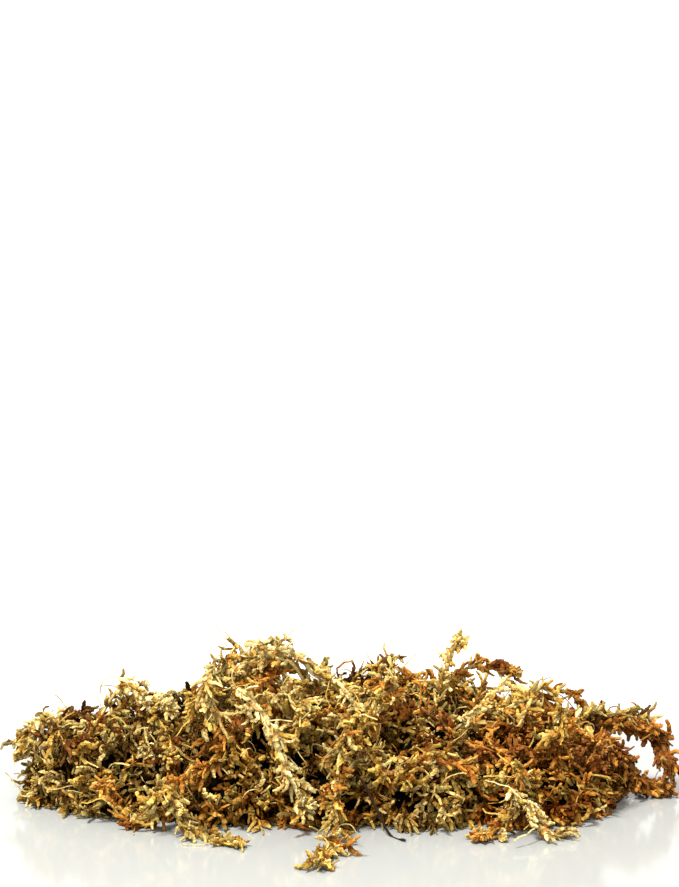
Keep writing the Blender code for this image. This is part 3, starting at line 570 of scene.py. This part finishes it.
def lay_strand(spec, stream, pile):
    """The limbs of a strand as middles and radii: its rope, its branches and its head's sprigs."""
    name, _, radius, length, _, head, route = spec
    middles, radii = lay_rope(route, radius, head, pile)
    branches = lay_branches(middles, spec, stream, pile) if length else []
    sprigs = lay_head(middles[-2], head, stream, pile) if head else []
    every = np.vstack([beads(*limb)[0] for limb in [(middles, radii)] + branches + sprigs])
    sink = (pile.rest(every) - every[:, 2]).max()
    pile.add(every + (0.0, 0.0, sink, 0.0))
    move, kept = NESTLED.get(name, ((0.0, 0.0, 0.0), 1.0))

    def settled(points):
        return (points + (0.0, 0.0, sink)) * (1.0, 1.0, kept) + move

    branches = [(settled(points), widths) for points, widths in branches]
    sprigs = [(settled(points), widths) for points, widths in sprigs]
    return (settled(middles), radii), branches, sprigs


def bare_ground(route, pile, bare):
    """How much bare ground a route passes over or beside."""
    points = spaced(smooth_curve(route), FILL_SWATH / 2)
    steps = np.array((-1.0, 0.0, 1.0)) * FILL_SWATH * FILL_BESIDE
    around = np.stack(np.meshgrid(steps, steps), -1).reshape(-1, 2)
    spots = (points[:, None, :2] + around[None]).reshape(-1, 2)
    cells = np.floor((spots - pile.corner) / CELL).astype(int)
    return bare[cells[:, 0], cells[:, 1]].sum()


def wander(stream):
    """A gently bending route at random, which ends where it would leave the heap."""
    route = []
    while len(route) < FILL_LEAST:
        x, y = stream.uniform(*FILL_FIELD[:2]), stream.uniform(*FILL_FIELD[2:])
        heading = stream.uniform(0.0, TURN)
        bend = stream.normal(0.0, FILL_BEND)
        route = []
        for _ in range(int(stream.uniform(*FILL_LENGTH) / FILL_STEP)):
            if heap_height(x, y) <= 0.0:
                break
            route.append((x, y, 0.0))
            heading += bend + stream.normal(0.0, FILL_BEND)
            x += FILL_STEP * math.cos(heading)
            y += FILL_STEP * math.sin(heading)
    return route


def fill_spec(index, stream, pile, bare):
    """A strand at random, along the one of a few routes that covers the barest ground."""
    routes = [wander(stream) for _ in range(FILL_TRIES)]
    route = max(routes, key=lambda one: bare_ground(one, pile, bare))
    middle_x = np.mean([x for x, _, _ in route])
    choice = next(names for limit, names in FILL_COLOURS if middle_x < limit)
    colour = choice[index % len(choice)]
    head = FILL_HEAD if index % 3 == 0 else 0.0
    rope = stream.uniform(*FILL_ROPE)
    length = stream.uniform(*FILL_BRANCH)
    return (f"draped_strand_{index + 1:02d}", colour, rope, length, FILL_BRANCH_RADIUS, head, route)


def other_tufts(index):
    """The places of all tufts but one."""
    return TUFT_PLACES[:index] + TUFT_PLACES[index + 1:]


def tuft_reach(index, angle):
    """How far a tuft reaches in a direction: to the middle way to the next, or the heap's rim."""
    place = np.array(TUFT_PLACES[index])
    along = np.array((math.cos(angle), math.sin(angle)))
    reach = TUFT_FARTHEST
    for other in other_tufts(index):
        apart = np.array(other) - place
        toward = along @ apart
        if toward > 0.0:
            far = norm(apart)
            reach = min(reach, (far / 2 - TUFT_GAP / 2) * far / toward)
    steps = np.arange(0.0, reach, TUFT_STEP)
    heights = heap_height(place[0] + steps * along[0], place[1] + steps * along[1])
    low = heights < TUFT_EDGE_HEIGHT
    return steps[low.argmax()] if low.any() else reach


def tuft_shape(index, stream):
    """Rings of points of a matted tuft, from its foot up over its sides to its crown."""
    place = np.array(TUFT_PLACES[index])
    angles = TURN * np.arange(TUFT_SIDES) / TUFT_SIDES
    reach = np.array([tuft_reach(index, angle) for angle in angles])
    around = np.column_stack((np.cos(angles), np.sin(angles)))

    def ring(share, heights):
        dent = stream.uniform(0.0, TUFT_DENT, TUFT_SIDES) * (share > TUFT_FOOT)
        flat = place + around * (reach * share - dent)[:, None]
        return np.column_stack((flat, heights(flat)))

    def crown(flat):
        return heap_height(*flat.T) + stream.normal(0.0, TUFT_LUMP, TUFT_SIDES)

    def edge(flat):
        return np.maximum(heap_height(*flat.T) - TUFT_GROOVE, TUFT_EDGE_HEIGHT)

    rings = [
        ring(TUFT_FOOT, lambda flat: np.zeros(TUFT_SIDES)),
        ring(TUFT_UNDERCUT, lambda flat: np.full(TUFT_SIDES, TUFT_LIFT)),
        ring(1.0, edge),
        ring(TUFT_RINGS[1], crown),
        ring(TUFT_RINGS[0], crown),
    ]
    foot = np.array((*place, 0.0))
    peak = np.array((*place, heap_height(*place) + stream.uniform(0.0, TUFT_LUMP)))
    return foot, rings, peak


def tuft_faces(rings):
    """Triangles of a tuft's points, which are its foot's middle, its rings and its peak."""
    last = 1 + len(rings) * TUFT_SIDES
    faces = []
    for side in range(TUFT_SIDES):
        after = (side + 1) % TUFT_SIDES
        faces.append((0, 1 + after, 1 + side))
        for level in range(len(rings) - 1):
            a, b = 1 + level * TUFT_SIDES + side, 1 + level * TUFT_SIDES + after
            faces += [(a, b, b + TUFT_SIDES), (a, b + TUFT_SIDES, a + TUFT_SIDES)]
        faces.append((last - TUFT_SIDES + side, last - TUFT_SIDES + after, last))
    return faces


def within_tuft(point, radius, index):
    """Whether a ball keeps to the ground of its own tuft."""
    place = np.array(TUFT_PLACES[index])
    for other in other_tufts(index):
        apart = unit(np.array(other) - place)
        halfway = (np.array(other) + place) / 2
        if (point[:2] - halfway) @ apart > -(radius + TUFT_GAP / 2):
            return False
    return point[2] >= radius


def corners_and_crosses(points, faces):
    """The corners of each triangle, and its normal, as long as twice its area."""
    corners = points[np.array(faces)]
    return corners, np.cross(corners[:, 1] - corners[:, 0], corners[:, 2] - corners[:, 0])


def tuft_sprigs(index, points, faces, stream):
    """Short branches that stand out of a tuft's sides and crown, rooted under its surface."""
    corners, crosses = corners_and_crosses(points, faces)
    areas = norm(crosses, axis=1) * (crosses[:, 2] >= 0.0)
    sprigs = []
    for _ in range(TUFT_SPRIGS * SPRIG_TRIES):
        if len(sprigs) == TUFT_SPRIGS:
            break
        face = int(stream.choice(len(faces), p=areas / areas.sum()))
        normal = unit(crosses[face])
        mix = stream.dirichlet((1.0, 1.0, 1.0))
        root = mix @ corners[face] - SPRIG_ROOT * normal
        out = unit(normal + SPRIG_LEAN * unit(stream.normal(0.0, 1.0, 3)))
        length = stream.uniform(*SPRIG_LENGTH) * (1.0 - CROWN_SHORTER * normal[2])
        belly = root + BELLY * length * out
        tip = belly + (1.0 - BELLY) * length * unit(out - (0.0, 0.0, SPRIG_DROOP))
        middles = np.array((root, belly, tip))
        radii = np.array((0.0, stream.uniform(*SPRIG_RADIUS), 0.0))
        if all(within_tuft(point, radius, index) for point, radius in zip(middles, radii)):
            sprigs.append((middles, radii))
    return sprigs


def triangle_dots(points, faces):
    """Small balls over the triangles of a mesh, close enough to cover it."""
    dots = []
    for a, b, c in points[np.array(faces)]:
        longest = max(norm(b - a), norm(c - a), norm(c - b))
        count = int(longest / CELL) + 1
        grid = np.arange(count + 1) / count
        u, v = [side.ravel() for side in np.meshgrid(grid, grid)]
        u, v = u[u + v <= WHOLE], v[u + v <= WHOLE]
        dots.append(a + u[:, None] * (b - a) + v[:, None] * (c - a))
    dots = np.vstack(dots)
    return np.column_stack((dots, np.full(len(dots), CELL / 2)))


def lay_clump():
    """Every tuft and strand in its place, as points and limbs."""
    pile = Pile()
    tufts, strands = [], []
    for index in range(len(TUFT_PLACES)):
        stream = np.random.default_rng((SEED, index))
        foot, rings, peak = tuft_shape(index, stream)
        points = np.vstack((foot, *rings, peak))
        faces = tuft_faces(rings)
        sprigs = tuft_sprigs(index, points, faces, stream)
        tufts.append((f"matted_tuft_{index + 1:02d}", points, faces, sprigs))
        pile.add(triangle_dots(points, faces))
    for _, _, _, sprigs in tufts:
        pile.add(np.vstack([beads(*limb)[0] for limb in sprigs]))
    x, y = np.indices(pile.top.shape) * CELL + pile.corner[:, None, None]
    heights = heap_height(x, y)
    slope = np.hypot(*np.gradient(heights, CELL))
    bare = np.where(heights > BARE_ABOVE, np.hypot(1.0, slope), 0.0)
    stream = np.random.default_rng((SEED, STRAND_STREAM))
    for index in range(FILL_COUNT):
        spec = fill_spec(index, stream, pile, bare)
        before = pile.top.copy()
        strands.append((spec, lay_strand(spec, stream, pile)))
        bare = np.where(pile.top > before, bare * COVERED, bare)
    for spec in STRANDS:
        strands.append((spec, lay_strand(spec, stream, pile)))
    return tufts, strands


def ring_points(middles, radii, sides):
    """The points of the rings of a limb with flat sides."""
    last = len(middles) - 1
    across = np.array((0.0, 0.0, 1.0))
    points = []
    for k, middle in enumerate(middles):
        along = unit(middles[min(k + 1, last)] - middles[max(k - 1, 0)])
        across = across - along * (across @ along)
        if norm(across) < NEARLY_ALONG:
            across = np.cross(along, (1.0, 0.0, 0.0))
        across = unit(across)
        beside = np.cross(along, across)
        for side in range(sides):
            angle = TURN * side / sides
            points.append(middle + radii[k] * (math.cos(angle) * across + math.sin(angle) * beside))
    return np.array(points)


def tube_triangles(rings, sides):
    """Triangles of a tube, with fans round its root and tip, and the places of their corners.

    The points are those of the rings, then the root and the tip. The places unroll the tube.
    """
    root, tip = rings * sides, rings * sides + 1
    faces, places = [], []
    for side in range(sides):
        after = (side + 1) % sides
        left, middle, right = side / sides, (side + 0.5) / sides, (side + 1) / sides
        for k in range(rings - 1):
            a, b = k * sides + side, k * sides + after
            low, high = (k + 1) / (rings + 1), (k + 2) / (rings + 1)
            faces += [(a, b, b + sides), (a, b + sides, a + sides)]
            places += [((left, low), (right, low), (right, high))]
            places += [((left, low), (right, high), (left, high))]
        low, high = 1 / (rings + 1), rings / (rings + 1)
        faces += [(root, after, side), (tip, root - sides + side, root - sides + after)]
        places += [((middle, 0.0), (right, low), (left, low))]
        places += [((middle, 1.0), (left, high), (right, high))]
    return np.array(faces), np.array(places)


def unit_rows(rows):
    """Every vector of an array made one long."""
    return rows / np.maximum(norm(rows, axis=-1, keepdims=True), TINY)


def scattered(count, stream):
    """Directions at random, all round."""
    return unit_rows(stream.normal(0.0, 1.0, (count, 3)))


def tints_of(colour, count, stream, alike=1):
    """A tint for each branch, drawn from the colours that mix in moss of one colour.

    Branches that follow one another in bunches of the given size mostly share their colour.
    """
    names, shares = zip(*MIXES[colour].items())
    shares = np.array(shares) / sum(shares)
    picks = np.repeat(stream.choice(len(names), size=count // alike, p=shares), alike)
    own = stream.choice(len(names), size=count, p=shares)
    picks = np.where(stream.uniform(0.0, 1.0, count) < OWN_TINT, own, picks)
    bunch = np.repeat(stream.normal(0.0, BUNCH_VARIES, count // alike), alike)
    brightness = np.exp(bunch + stream.normal(0.0, TINT_VARIES, count))
    return np.array([TINTS[name] for name in names])[picks] * brightness[:, None]


def shaded(tints, shades):
    """Tints darkened by painted shade, which turns warmer as it deepens, as shade between the
    branches looks.
    """
    return tints * np.asarray(shades)[..., None] ** SHADE_POWERS


class Growth:
    """The points, triangles, tints and places on the map of one piece, gathered as it grows."""

    def __init__(self):
        self.points, self.triangles, self.tints = [], [], []
        self.places, self.cells, self.tubes, self.total = [], [], 0, 0

    def add(self, points, rings, sides, tints):
        """Takes in tubes of one build, each with its own cell of the map."""
        count, each = points.shape[:2]
        triangles, places = tube_triangles(rings, sides)
        starts = self.total + each * np.arange(count)
        self.points.append(points.reshape(-1, 3))
        self.triangles.append((triangles[None] + starts[:, None, None]).reshape(-1, 3))
        self.tints.append(np.broadcast_to(tints, points.shape).reshape(-1, 3))
        self.places.append(np.tile(places, (count, 1, 1)))
        self.cells.append(np.repeat(self.tubes + np.arange(count), len(triangles)))
        self.total += count * each
        self.tubes += count

    def stem(self, middles, radii, sides, tint):
        """Takes in a plain stem, closed at both ends."""
        points = np.vstack((ring_points(middles, radii, sides), middles[:1], middles[-1:]))
        self.add(points[None], len(middles), sides, tint)

    def branches(self, roots, headings, lengths, radii, bends, tints, build, stream):
        """Takes in leafy branches, which are curved stacks of whorls of leaves, with painted shade
        toward their roots and on the narrow part of each whorl.
        """
        whorls, sides = build
        count, rings = len(roots), 2 * whorls
        starts = np.arange(whorls) / whorls
        places = np.stack((starts, starts + WHORL_REACH / whorls), axis=1).ravel()
        taper = np.minimum(1.0, NECK + places / NECK_SHARE) * np.sqrt(1.0 - places**TIP_POWER)
        profile = taper * np.tile((NARROW, WIDE), whorls)
        steps = np.diff(np.concatenate(((0.0,), places, (1.0,))))
        wag = unit_rows(np.cross(headings, scattered(count, stream)))
        phase = stream.uniform(0.0, TURN, (count, 1))
        around = TURN * np.arange(sides) / sides
        shells = np.empty((count, rings, sides, 3))
        flatness = stream.uniform(*FLATNESS, (count, 1, 1))
        point, heading, across = roots, headings, wag
        for k in range(rings):
            point = point + heading * (lengths * steps[k])[:, None]
            turn = bends + WAG * np.cos(phase + WAG_TURNS * places[k]) * wag
            heading = unit_rows(heading + turn * steps[k])
            across = unit_rows(across - heading * (across * heading).sum(axis=1, keepdims=True))
            beside = np.cross(heading, across)
            angle = (around + (k // 2) * math.pi / sides)[None, :, None]
            varies = stream.uniform(*LEAF_VARIES[k % 2], (count, sides))
            reach = radii[:, None] * profile[k] * varies
            out = np.cos(angle) * across[:, None] + flatness * np.sin(angle) * beside[:, None]
            shells[:, k] = point[:, None] + reach[..., None] * out
        tips = point + heading * (lengths * steps[rings])[:, None]
        points = np.concatenate((shells.reshape(count, -1, 3), roots[:, None], tips[:, None]), axis=1)
        points[..., 2] += np.maximum(LOWEST - points[..., 2].min(axis=1), 0.0)[:, None]
        # Painted shade toward the root and on each whorl's narrow ring; the streaks are random tone
        # along each side
        shade = ROOT_SHADE + (1.0 - ROOT_SHADE) * np.clip(places / LIT_FROM, 0.0, 1.0)
        shade = (shade * np.tile(LEAF_SHADES, whorls))[None, :, None]
        shade = (shade * stream.uniform(*STREAKS, (count, 1, sides))).reshape(count, -1)
        ends = np.broadcast_to((ROOT_SHADE, 1.0), (count, 2))
        self.add(points, rings, sides, shaded(tints[:, None], np.hstack((shade, ends))))


def bunches(growth, roots, headings, lit, colour, style, stream):
    """Adds a bunch of branches at each root, staggered along the bunch's own heading."""
    count, spread, bend, lengths, radii = style
    total = len(roots) * count
    bends = bend * scattered(len(roots), stream)
    headings = np.repeat(headings, count, axis=0)
    staggered = headings * stream.uniform(-BUNCH_LONG, BUNCH_LONG, (total, 1))
    roots = np.repeat(roots, count, axis=0) + staggered
    roots = roots + BUNCH_WIDTH * stream.normal(0.0, 1.0, (total, 3))
    headings = unit_rows(headings + spread * scattered(total, stream))
    bends = np.repeat(bends, count, axis=0) + bend * scattered(total, stream) - (0.0, 0.0, SAG)
    # Painted shade: each bunch darkened by how deep it is rooted
    tints = shaded(tints_of(colour, total, stream, count), np.repeat(lit, count))
    lengths, radii = stream.uniform(*lengths, total), stream.uniform(*radii, total)
    growth.branches(roots, headings, lengths, radii, bends, tints, MAT_BUILD, stream)


def limb_bunches(growth, limbs, colour, style, stream):
    """Adds fine branches along each short branch of the solids, one after another."""
    if not limbs:
        return
    count, spread, bend, shares, radii = style
    ends = np.array([middles for middles, _ in limbs])
    total = len(limbs) * count
    starts = np.tile((np.arange(count) + LIMB_FIRST) / count * LIMB_LAST, len(limbs))[:, None]
    root, belly, tip = np.repeat(ends, count, axis=0).transpose(1, 0, 2)
    long = norm(belly - root, axis=1) + norm(tip - belly, axis=1)
    roots = np.where(
        starts < BELLY,
        root + (belly - root) * starts / BELLY,
        belly + (tip - belly) * (starts - BELLY) / (1.0 - BELLY),
    )
    onward = np.where(starts < BELLY, belly - root, tip - belly)
    headings = unit_rows(unit_rows(onward) + spread * scattered(total, stream))
    bends = bend * scattered(total, stream) - (0.0, 0.0, SAG)
    lengths, radii = long * stream.uniform(*shares, total), stream.uniform(*radii, total)
    tints = tints_of(colour, total, stream, count)
    growth.branches(roots, headings, lengths, radii, bends, tints, LONG_BUILD, stream)


def fibres(growth, roots, colour, stream):
    """Adds thin curling fibres, which are stems that have lost their leaves."""
    for root in roots:
        heading = unit(stream.normal(0.0, 1.0, 3) + (0.0, 0.0, FIBRE_RISE))
        curl = FIBRE_CURL * unit(stream.normal(0.0, 1.0, 3)) - (0.0, 0.0, FIBRE_SAG)
        middles = [root]
        for _ in range(FIBRE_JOINTS):
            middles.append(middles[-1] + heading * stream.uniform(*FIBRE_STEP))
            heading = unit(heading + curl + FIBRE_KINK * stream.normal(0.0, 1.0, 3))
        middles = np.array(middles)
        middles[:, 2] = np.maximum(middles[:, 2], FIBRE_LOWEST)
        widths = np.full(len(middles), stream.uniform(*FIBRE_RADII))
        growth.stem(middles, widths, FIBRE_SIDES, TINTS[STEM_TINTS[colour]])


def tuft_piece(index, name, points, faces, sprigs):
    """A matted tuft: a near-black middle, painted shade seen through the gaps, bunches of branches
    all over it, and those that stand out.
    """
    stream = np.random.default_rng((SEED, FINE_STREAM, index))
    colour = TUFT_COLOURS[index]
    growth = Growth()
    # A shell sunk under the tuft's surface, near-black: painted shade that shows through the gaps
    # between branches
    corners, crosses = corners_and_crosses(points, faces)
    out = np.zeros(points.shape)
    for corner in range(3):
        np.add.at(out, np.array(faces)[:, corner], crosses)
    middle = points - MIDDLE_DEPTH * unit_rows(out)
    middle = np.vstack((middle[1:-1], middle[:1], middle[-1:]))
    growth.add(middle[None], (len(points) - 2) // TUFT_SIDES, TUFT_SIDES, MIDDLE_PAINTED_SHADE)
    levels = np.arange(len(faces)) % (len(faces) // TUFT_SIDES)
    low = corners[:, :, 2].mean(axis=1) < RIM_HEIGHT
    share = np.where(levels > TUFT_WALLS, 1.0, WALL_SHARE * (levels > TUFT_FOOT_FACES))
    share = np.where(low & (levels > TUFT_FOOT_FACES), RIM_SHARE, share)
    share = share * (1.0 + STEEP_SHARE * (1.0 - unit_rows(crosses)[:, 2]))
    areas = norm(crosses, axis=1) * share
    total = int(areas.sum() / 2 * TUFT_BUNCHES)
    evenly = (np.arange(total) + 0.5) / total
    picks = np.searchsorted(np.cumsum(areas) / areas.sum(), evenly)
    shares = stream.dirichlet((1.0, 1.0, 1.0), total)
    normals = unit_rows(crosses[picks])
    roots = (shares[..., None] * corners[picks]).sum(axis=1)
    raised = stream.uniform(0.0, 1.0, total)
    depth = TUFT_ROOTS[0] + (TUFT_ROOTS[1] - TUFT_ROOTS[0]) * raised
    roots = roots + normals * depth[:, None]
    beyond = (((roots[:, :2] - RIDGE_PLACE) / RIDGE_SPAN) ** 2).sum(axis=1)
    roots[:, 2] += RIDGE_RISE * np.exp(-beyond)
    headings = unit_rows(TUFT_RISE * normals + scattered(total, stream) - (0.0, 0.0, TUFT_HANG))
    # Painted shade: the deeper a bunch is rooted, the darker its tints
    lit = DEEP_SHADE + (1.0 - DEEP_SHADE) * raised
    mixes = np.full(total, colour, dtype=object)
    for x, y, radius, patch in PATCHES:
        mixes[np.hypot(roots[:, 0] - x, roots[:, 1] - y) < radius] = patch
    for mix in sorted(set(mixes)):
        own = mixes == mix
        bunches(growth, roots[own], headings[own], lit[own], mix, TUFT_STYLE, stream)
    limb_bunches(growth, sprigs, colour, SPRIG_STYLE, stream)
    fibres(growth, stream.choice(roots, TUFT_FIBRES), colour, stream)
    finish_piece(growth, name, colour)


def strand_piece(index, spec, rope, branches, sprigs):
    """A strand: its stem, the branches that hang round it, those that stand off it and its head."""
    stream = np.random.default_rng((SEED, FINE_STREAM, len(TUFT_PLACES) + index))
    name, colour, radius, length, _, head, _ = spec
    growth = Growth()
    middles = rope[0][:-1] if head else rope[0]
    dense = spaced(smooth_curve(middles), STEM_STEP)
    bare = name in BARE_STEMS
    widths = np.full(len(dense), radius * (BARE_STEM if bare else LEAFY_STEM))
    if not length:
        widths = TWIG_THIN * radius * stream.uniform(*TWIG_VARIES, len(dense))
    widths[-1] *= ROPE_END
    growth.stem(dense, widths, STEM_SIDES, TINTS[STEM_TINTS[colour]] if length else TWIG_TINT)
    if length:
        hanging = spaced(dense, BARE_HANG_STEP if bare else HANG_STEP)
        along = unit_rows(np.gradient(hanging, axis=0))
        thick = name in THICK_STRANDS
        bunch = THICK_HANG_BUNCH if thick else HANG_BUNCH
        roots = np.repeat(hanging, bunch, axis=0)
        along = np.repeat(along, bunch, axis=0)
        out = unit_rows(np.cross(along, scattered(len(roots), stream)))
        headings = unit_rows(HANG_ALONG * along + out)
        headings = unit_rows(headings + HANG_STRAY * scattered(len(roots), stream))
        bends = HANG_CLOSE * (along - out) + HANG_BEND * scattered(len(roots), stream)
        bends[:, 2] -= THICK_DROOP * thick
        lengths = stream.uniform(*HANG_LENGTH, len(roots)) * (THICK_LONGER if thick else 1.0)
        radii = stream.uniform(*HANG_RADII, len(roots)) * (THICK_WIDER if thick else 1.0)
        tints = tints_of(colour, len(roots), stream)
        growth.branches(roots, headings, lengths, radii, bends, tints, SHORT_BUILD, stream)
        fibres(growth, hanging[::FIBRE_EVERY], colour, stream)
    style = FINGER_STYLE if name in FINGERS else LIMB_STYLE
    limb_bunches(growth, branches, colour, THICK_STYLE if name in THICK_STRANDS else style, stream)
    if head:
        out = scattered(HEAD_COUNT, stream)
        out[:, 2] = np.abs(out[:, 2]) - HEAD_LOW
        out = unit_rows(out)
        core = np.repeat(rope[0][-2][None], HEAD_COUNT, axis=0)
        lengths = head * stream.uniform(*HEAD_LENGTH, HEAD_COUNT)
        radii = stream.uniform(*HEAD_RADII, HEAD_COUNT)
        tints = tints_of(colour, HEAD_COUNT, stream) * HEAD_TINT
        growth.branches(core, out, lengths, radii, -HEAD_CURL * out, tints, SHORT_BUILD, stream)
    finish_piece(growth, name, colour)


def finish_piece(growth, name, colour):
    """Makes the gathered growth one piece, in the frame's place, which replaces its node."""
    points = np.vstack(growth.points) + SHIFT
    points[:, 2] = np.maximum(points[:, 2], LOWEST)
    triangles = np.vstack(growth.triangles)
    mesh = bpy.data.meshes.new("fine_" + name)
    mesh.vertices.add(len(points))
    mesh.vertices.foreach_set("co", (points * MM).ravel())
    mesh.loops.add(triangles.size)
    mesh.loops.foreach_set("vertex_index", triangles.ravel())
    mesh.polygons.add(len(triangles))
    mesh.polygons.foreach_set("loop_start", np.arange(0, triangles.size, 3))
    mesh.polygons.foreach_set("use_smooth", np.ones(len(triangles), bool))
    mesh.update(calc_edges=True)
    mesh.set_sharp_from_angle(angle=math.radians(SHARP_ANGLE))
    # The tints carry painted shade: toward branch roots, on narrow whorl rings and deep in the tufts
    tint = mesh.attributes.new("moss_tint_and_shade", "FLOAT_COLOR", "POINT")
    tints = np.column_stack((np.vstack(growth.tints), np.ones(len(points))))
    tint.data.foreach_set("color", tints.ravel())
    across = math.ceil(math.sqrt(growth.tubes))
    cells = np.concatenate(growth.cells)
    corners = np.stack((cells % across, cells // across), axis=1)[:, None]
    places = corners + MAP_MARGIN + (1.0 - 2.0 * MAP_MARGIN) * np.concatenate(growth.places)
    mesh.uv_layers.new(name="OFBake").uv.foreach_set("vector", (places / across).ravel())
    mesh.materials.append(MATERIALS[colour])
    piece = bpy.data.objects.new("fine_" + name, mesh)
    bpy.context.scene.collection.objects.link(piece)
    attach(piece, "root")
    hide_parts(name)


def add_node(nodes, kind, **inputs):
    """A new node with its inputs set, whose names have underscores here in place of spaces."""
    node = nodes.new("ShaderNode" + kind)
    for name, value in inputs.items():
        node.inputs[name.replace("_", " ")].default_value = value
    return node


def moss_material(colour):
    """Dry moss: the branches' tints with their painted shade, mottled and rough."""
    material = bpy.data.materials.new("fine_moss_" + colour)
    material.use_nodes = True
    nodes, links = material.node_tree.nodes, material.node_tree.links
    shader = nodes["Principled BSDF"]
    shader.inputs["Roughness"].default_value = FINE_ROUGHNESS
    shader.inputs["Specular IOR Level"].default_value = FINE_GLOSS
    tint = add_node(nodes, "Attribute")
    tint.attribute_name = "moss_tint_and_shade"
    place = add_node(nodes, "TexCoord")
    mottle = add_node(nodes, "TexNoise", Scale=MOTTLE_SCALE, Detail=MOTTLE_DETAIL)
    span = add_node(nodes, "MapRange", From_Min=MOTTLE_FROM[0], From_Max=MOTTLE_FROM[1],
                    To_Min=MOTTLE_SPAN[0], To_Max=MOTTLE_SPAN[1])
    scaled = add_node(nodes, "VectorMath")
    scaled.operation = "SCALE"
    links.new(place.outputs["Object"], mottle.inputs["Vector"])
    links.new(mottle.outputs["Fac"], span.inputs["Value"])
    links.new(tint.outputs["Color"], scaled.inputs["Vector"])
    links.new(span.outputs["Result"], scaled.inputs["Scale"])
    links.new(scaled.outputs["Vector"], shader.inputs["Base Color"])
    grain = add_node(nodes, "TexNoise", Scale=GRAIN_SCALE)
    bump = add_node(nodes, "Bump", Strength=GRAIN_STRENGTH, Distance=GRAIN_DEPTH * MM)
    links.new(place.outputs["Object"], grain.inputs["Vector"])
    links.new(grain.outputs["Fac"], bump.inputs["Height"])
    links.new(bump.outputs["Normal"], shader.inputs["Normal"])
    material.diffuse_color = (*COLOURS[colour], 1.0)
    return material


def floor_material():
    """A glossy floor, pale grey round the clump as painted shade that offsets the bright key lamp
    there, and white further out where the lamp's light has fallen off.
    """
    material = bpy.data.materials.new("floor")
    material.use_nodes = True
    nodes, links = material.node_tree.nodes, material.node_tree.links
    shader = nodes["Principled BSDF"]
    shader.inputs["Roughness"].default_value = FLOOR_ROUGHNESS
    place = add_node(nodes, "TexCoord")
    away = add_node(nodes, "VectorMath")
    away.operation = "LENGTH"
    share = add_node(nodes, "MapRange", From_Min=FLOOR_SPAN[0], From_Max=FLOOR_SPAN[1])
    share.interpolation_type = "SMOOTHSTEP"
    ramp = add_node(nodes, "Mix")
    ramp.data_type = "RGBA"
    ramp.inputs["A"].default_value = FLOOR_NEAR
    ramp.inputs["B"].default_value = FLOOR_FAR
    links.new(place.outputs["Object"], away.inputs[0])
    links.new(away.outputs["Value"], share.inputs["Value"])
    links.new(share.outputs["Result"], ramp.inputs["Factor"])
    links.new(ramp.outputs["Result"], shader.inputs["Base Color"])
    return material


def set_stage():
    """The floor, soft lights, a white surround, and screen colours that leave white as it is."""
    bpy.ops.mesh.primitive_plane_add(size=FLOOR_SIZE, location=(0.0, 0.0, -FLOOR_GAP))
    floor = bpy.context.object
    floor.name = "floor"
    floor.data.materials.append(floor_material())
    scene = bpy.context.scene
    world = bpy.data.worlds.new("surround")
    scene.world = world
    world.use_nodes = True
    surround = world.node_tree.nodes["Background"]
    surround.inputs["Color"].default_value = (1.0, 1.0, 1.0, 1.0)
    surround.inputs["Strength"].default_value = SURROUND
    scene.view_settings.view_transform = "Standard"
    for name, place, size, power in LIGHTS:
        lamp = bpy.data.lights.new(name, "AREA")
        lamp.size, lamp.energy = size, power
        light = bpy.data.objects.new(name, lamp)
        light.location = place
        toward = Vector(LIGHTS_AIM) - Vector(place)
        light.rotation_euler = toward.to_track_quat("-Z", "Y").to_euler()
        scene.collection.objects.link(light)


def set_camera():
    """The camera, at about the photograph's angle."""
    lens = bpy.data.cameras.new("camera")
    lens.lens, lens.sensor_width, lens.clip_start = LENS, SENSOR, CLIP_START
    camera = bpy.data.objects.new("camera", lens)
    rise = math.radians(CAMERA_RISE)
    back = Vector((0.0, -math.cos(rise), math.sin(rise))) * CAMERA_DISTANCE
    camera.location = Vector(SHIFT * MM) + back
    camera.rotation_euler = (math.radians(90.0 - CAMERA_TILT), 0.0, 0.0)
    bpy.context.scene.collection.objects.link(camera)
    bpy.context.scene.camera = camera


def frame_shift(strands):
    """How far the frame's solids lie from the layout, in millimetres, read off the twig's box."""
    rope = next(rope for spec, (rope, _, _) in strands if spec[0] == "dark_twig")
    lowest = ring_points(*rope, ROPE_SIDES).min(axis=0)
    corner = np.array(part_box("dark_twig")[0]) / MM
    return np.array((corner[0] - lowest[0], corner[1] - lowest[1], 0.0))


tufts, strands = lay_clump()
SHIFT = frame_shift(strands)
MATERIALS = {colour: moss_material(colour) for colour in COLOURS}
for index, (name, points, faces, sprigs) in enumerate(tufts):
    tuft_piece(index, name, points, faces, sprigs)
for index, (spec, (rope, branches, sprigs)) in enumerate(strands):
    strand_piece(index, spec, rope, branches, sprigs)
set_stage()
set_camera()
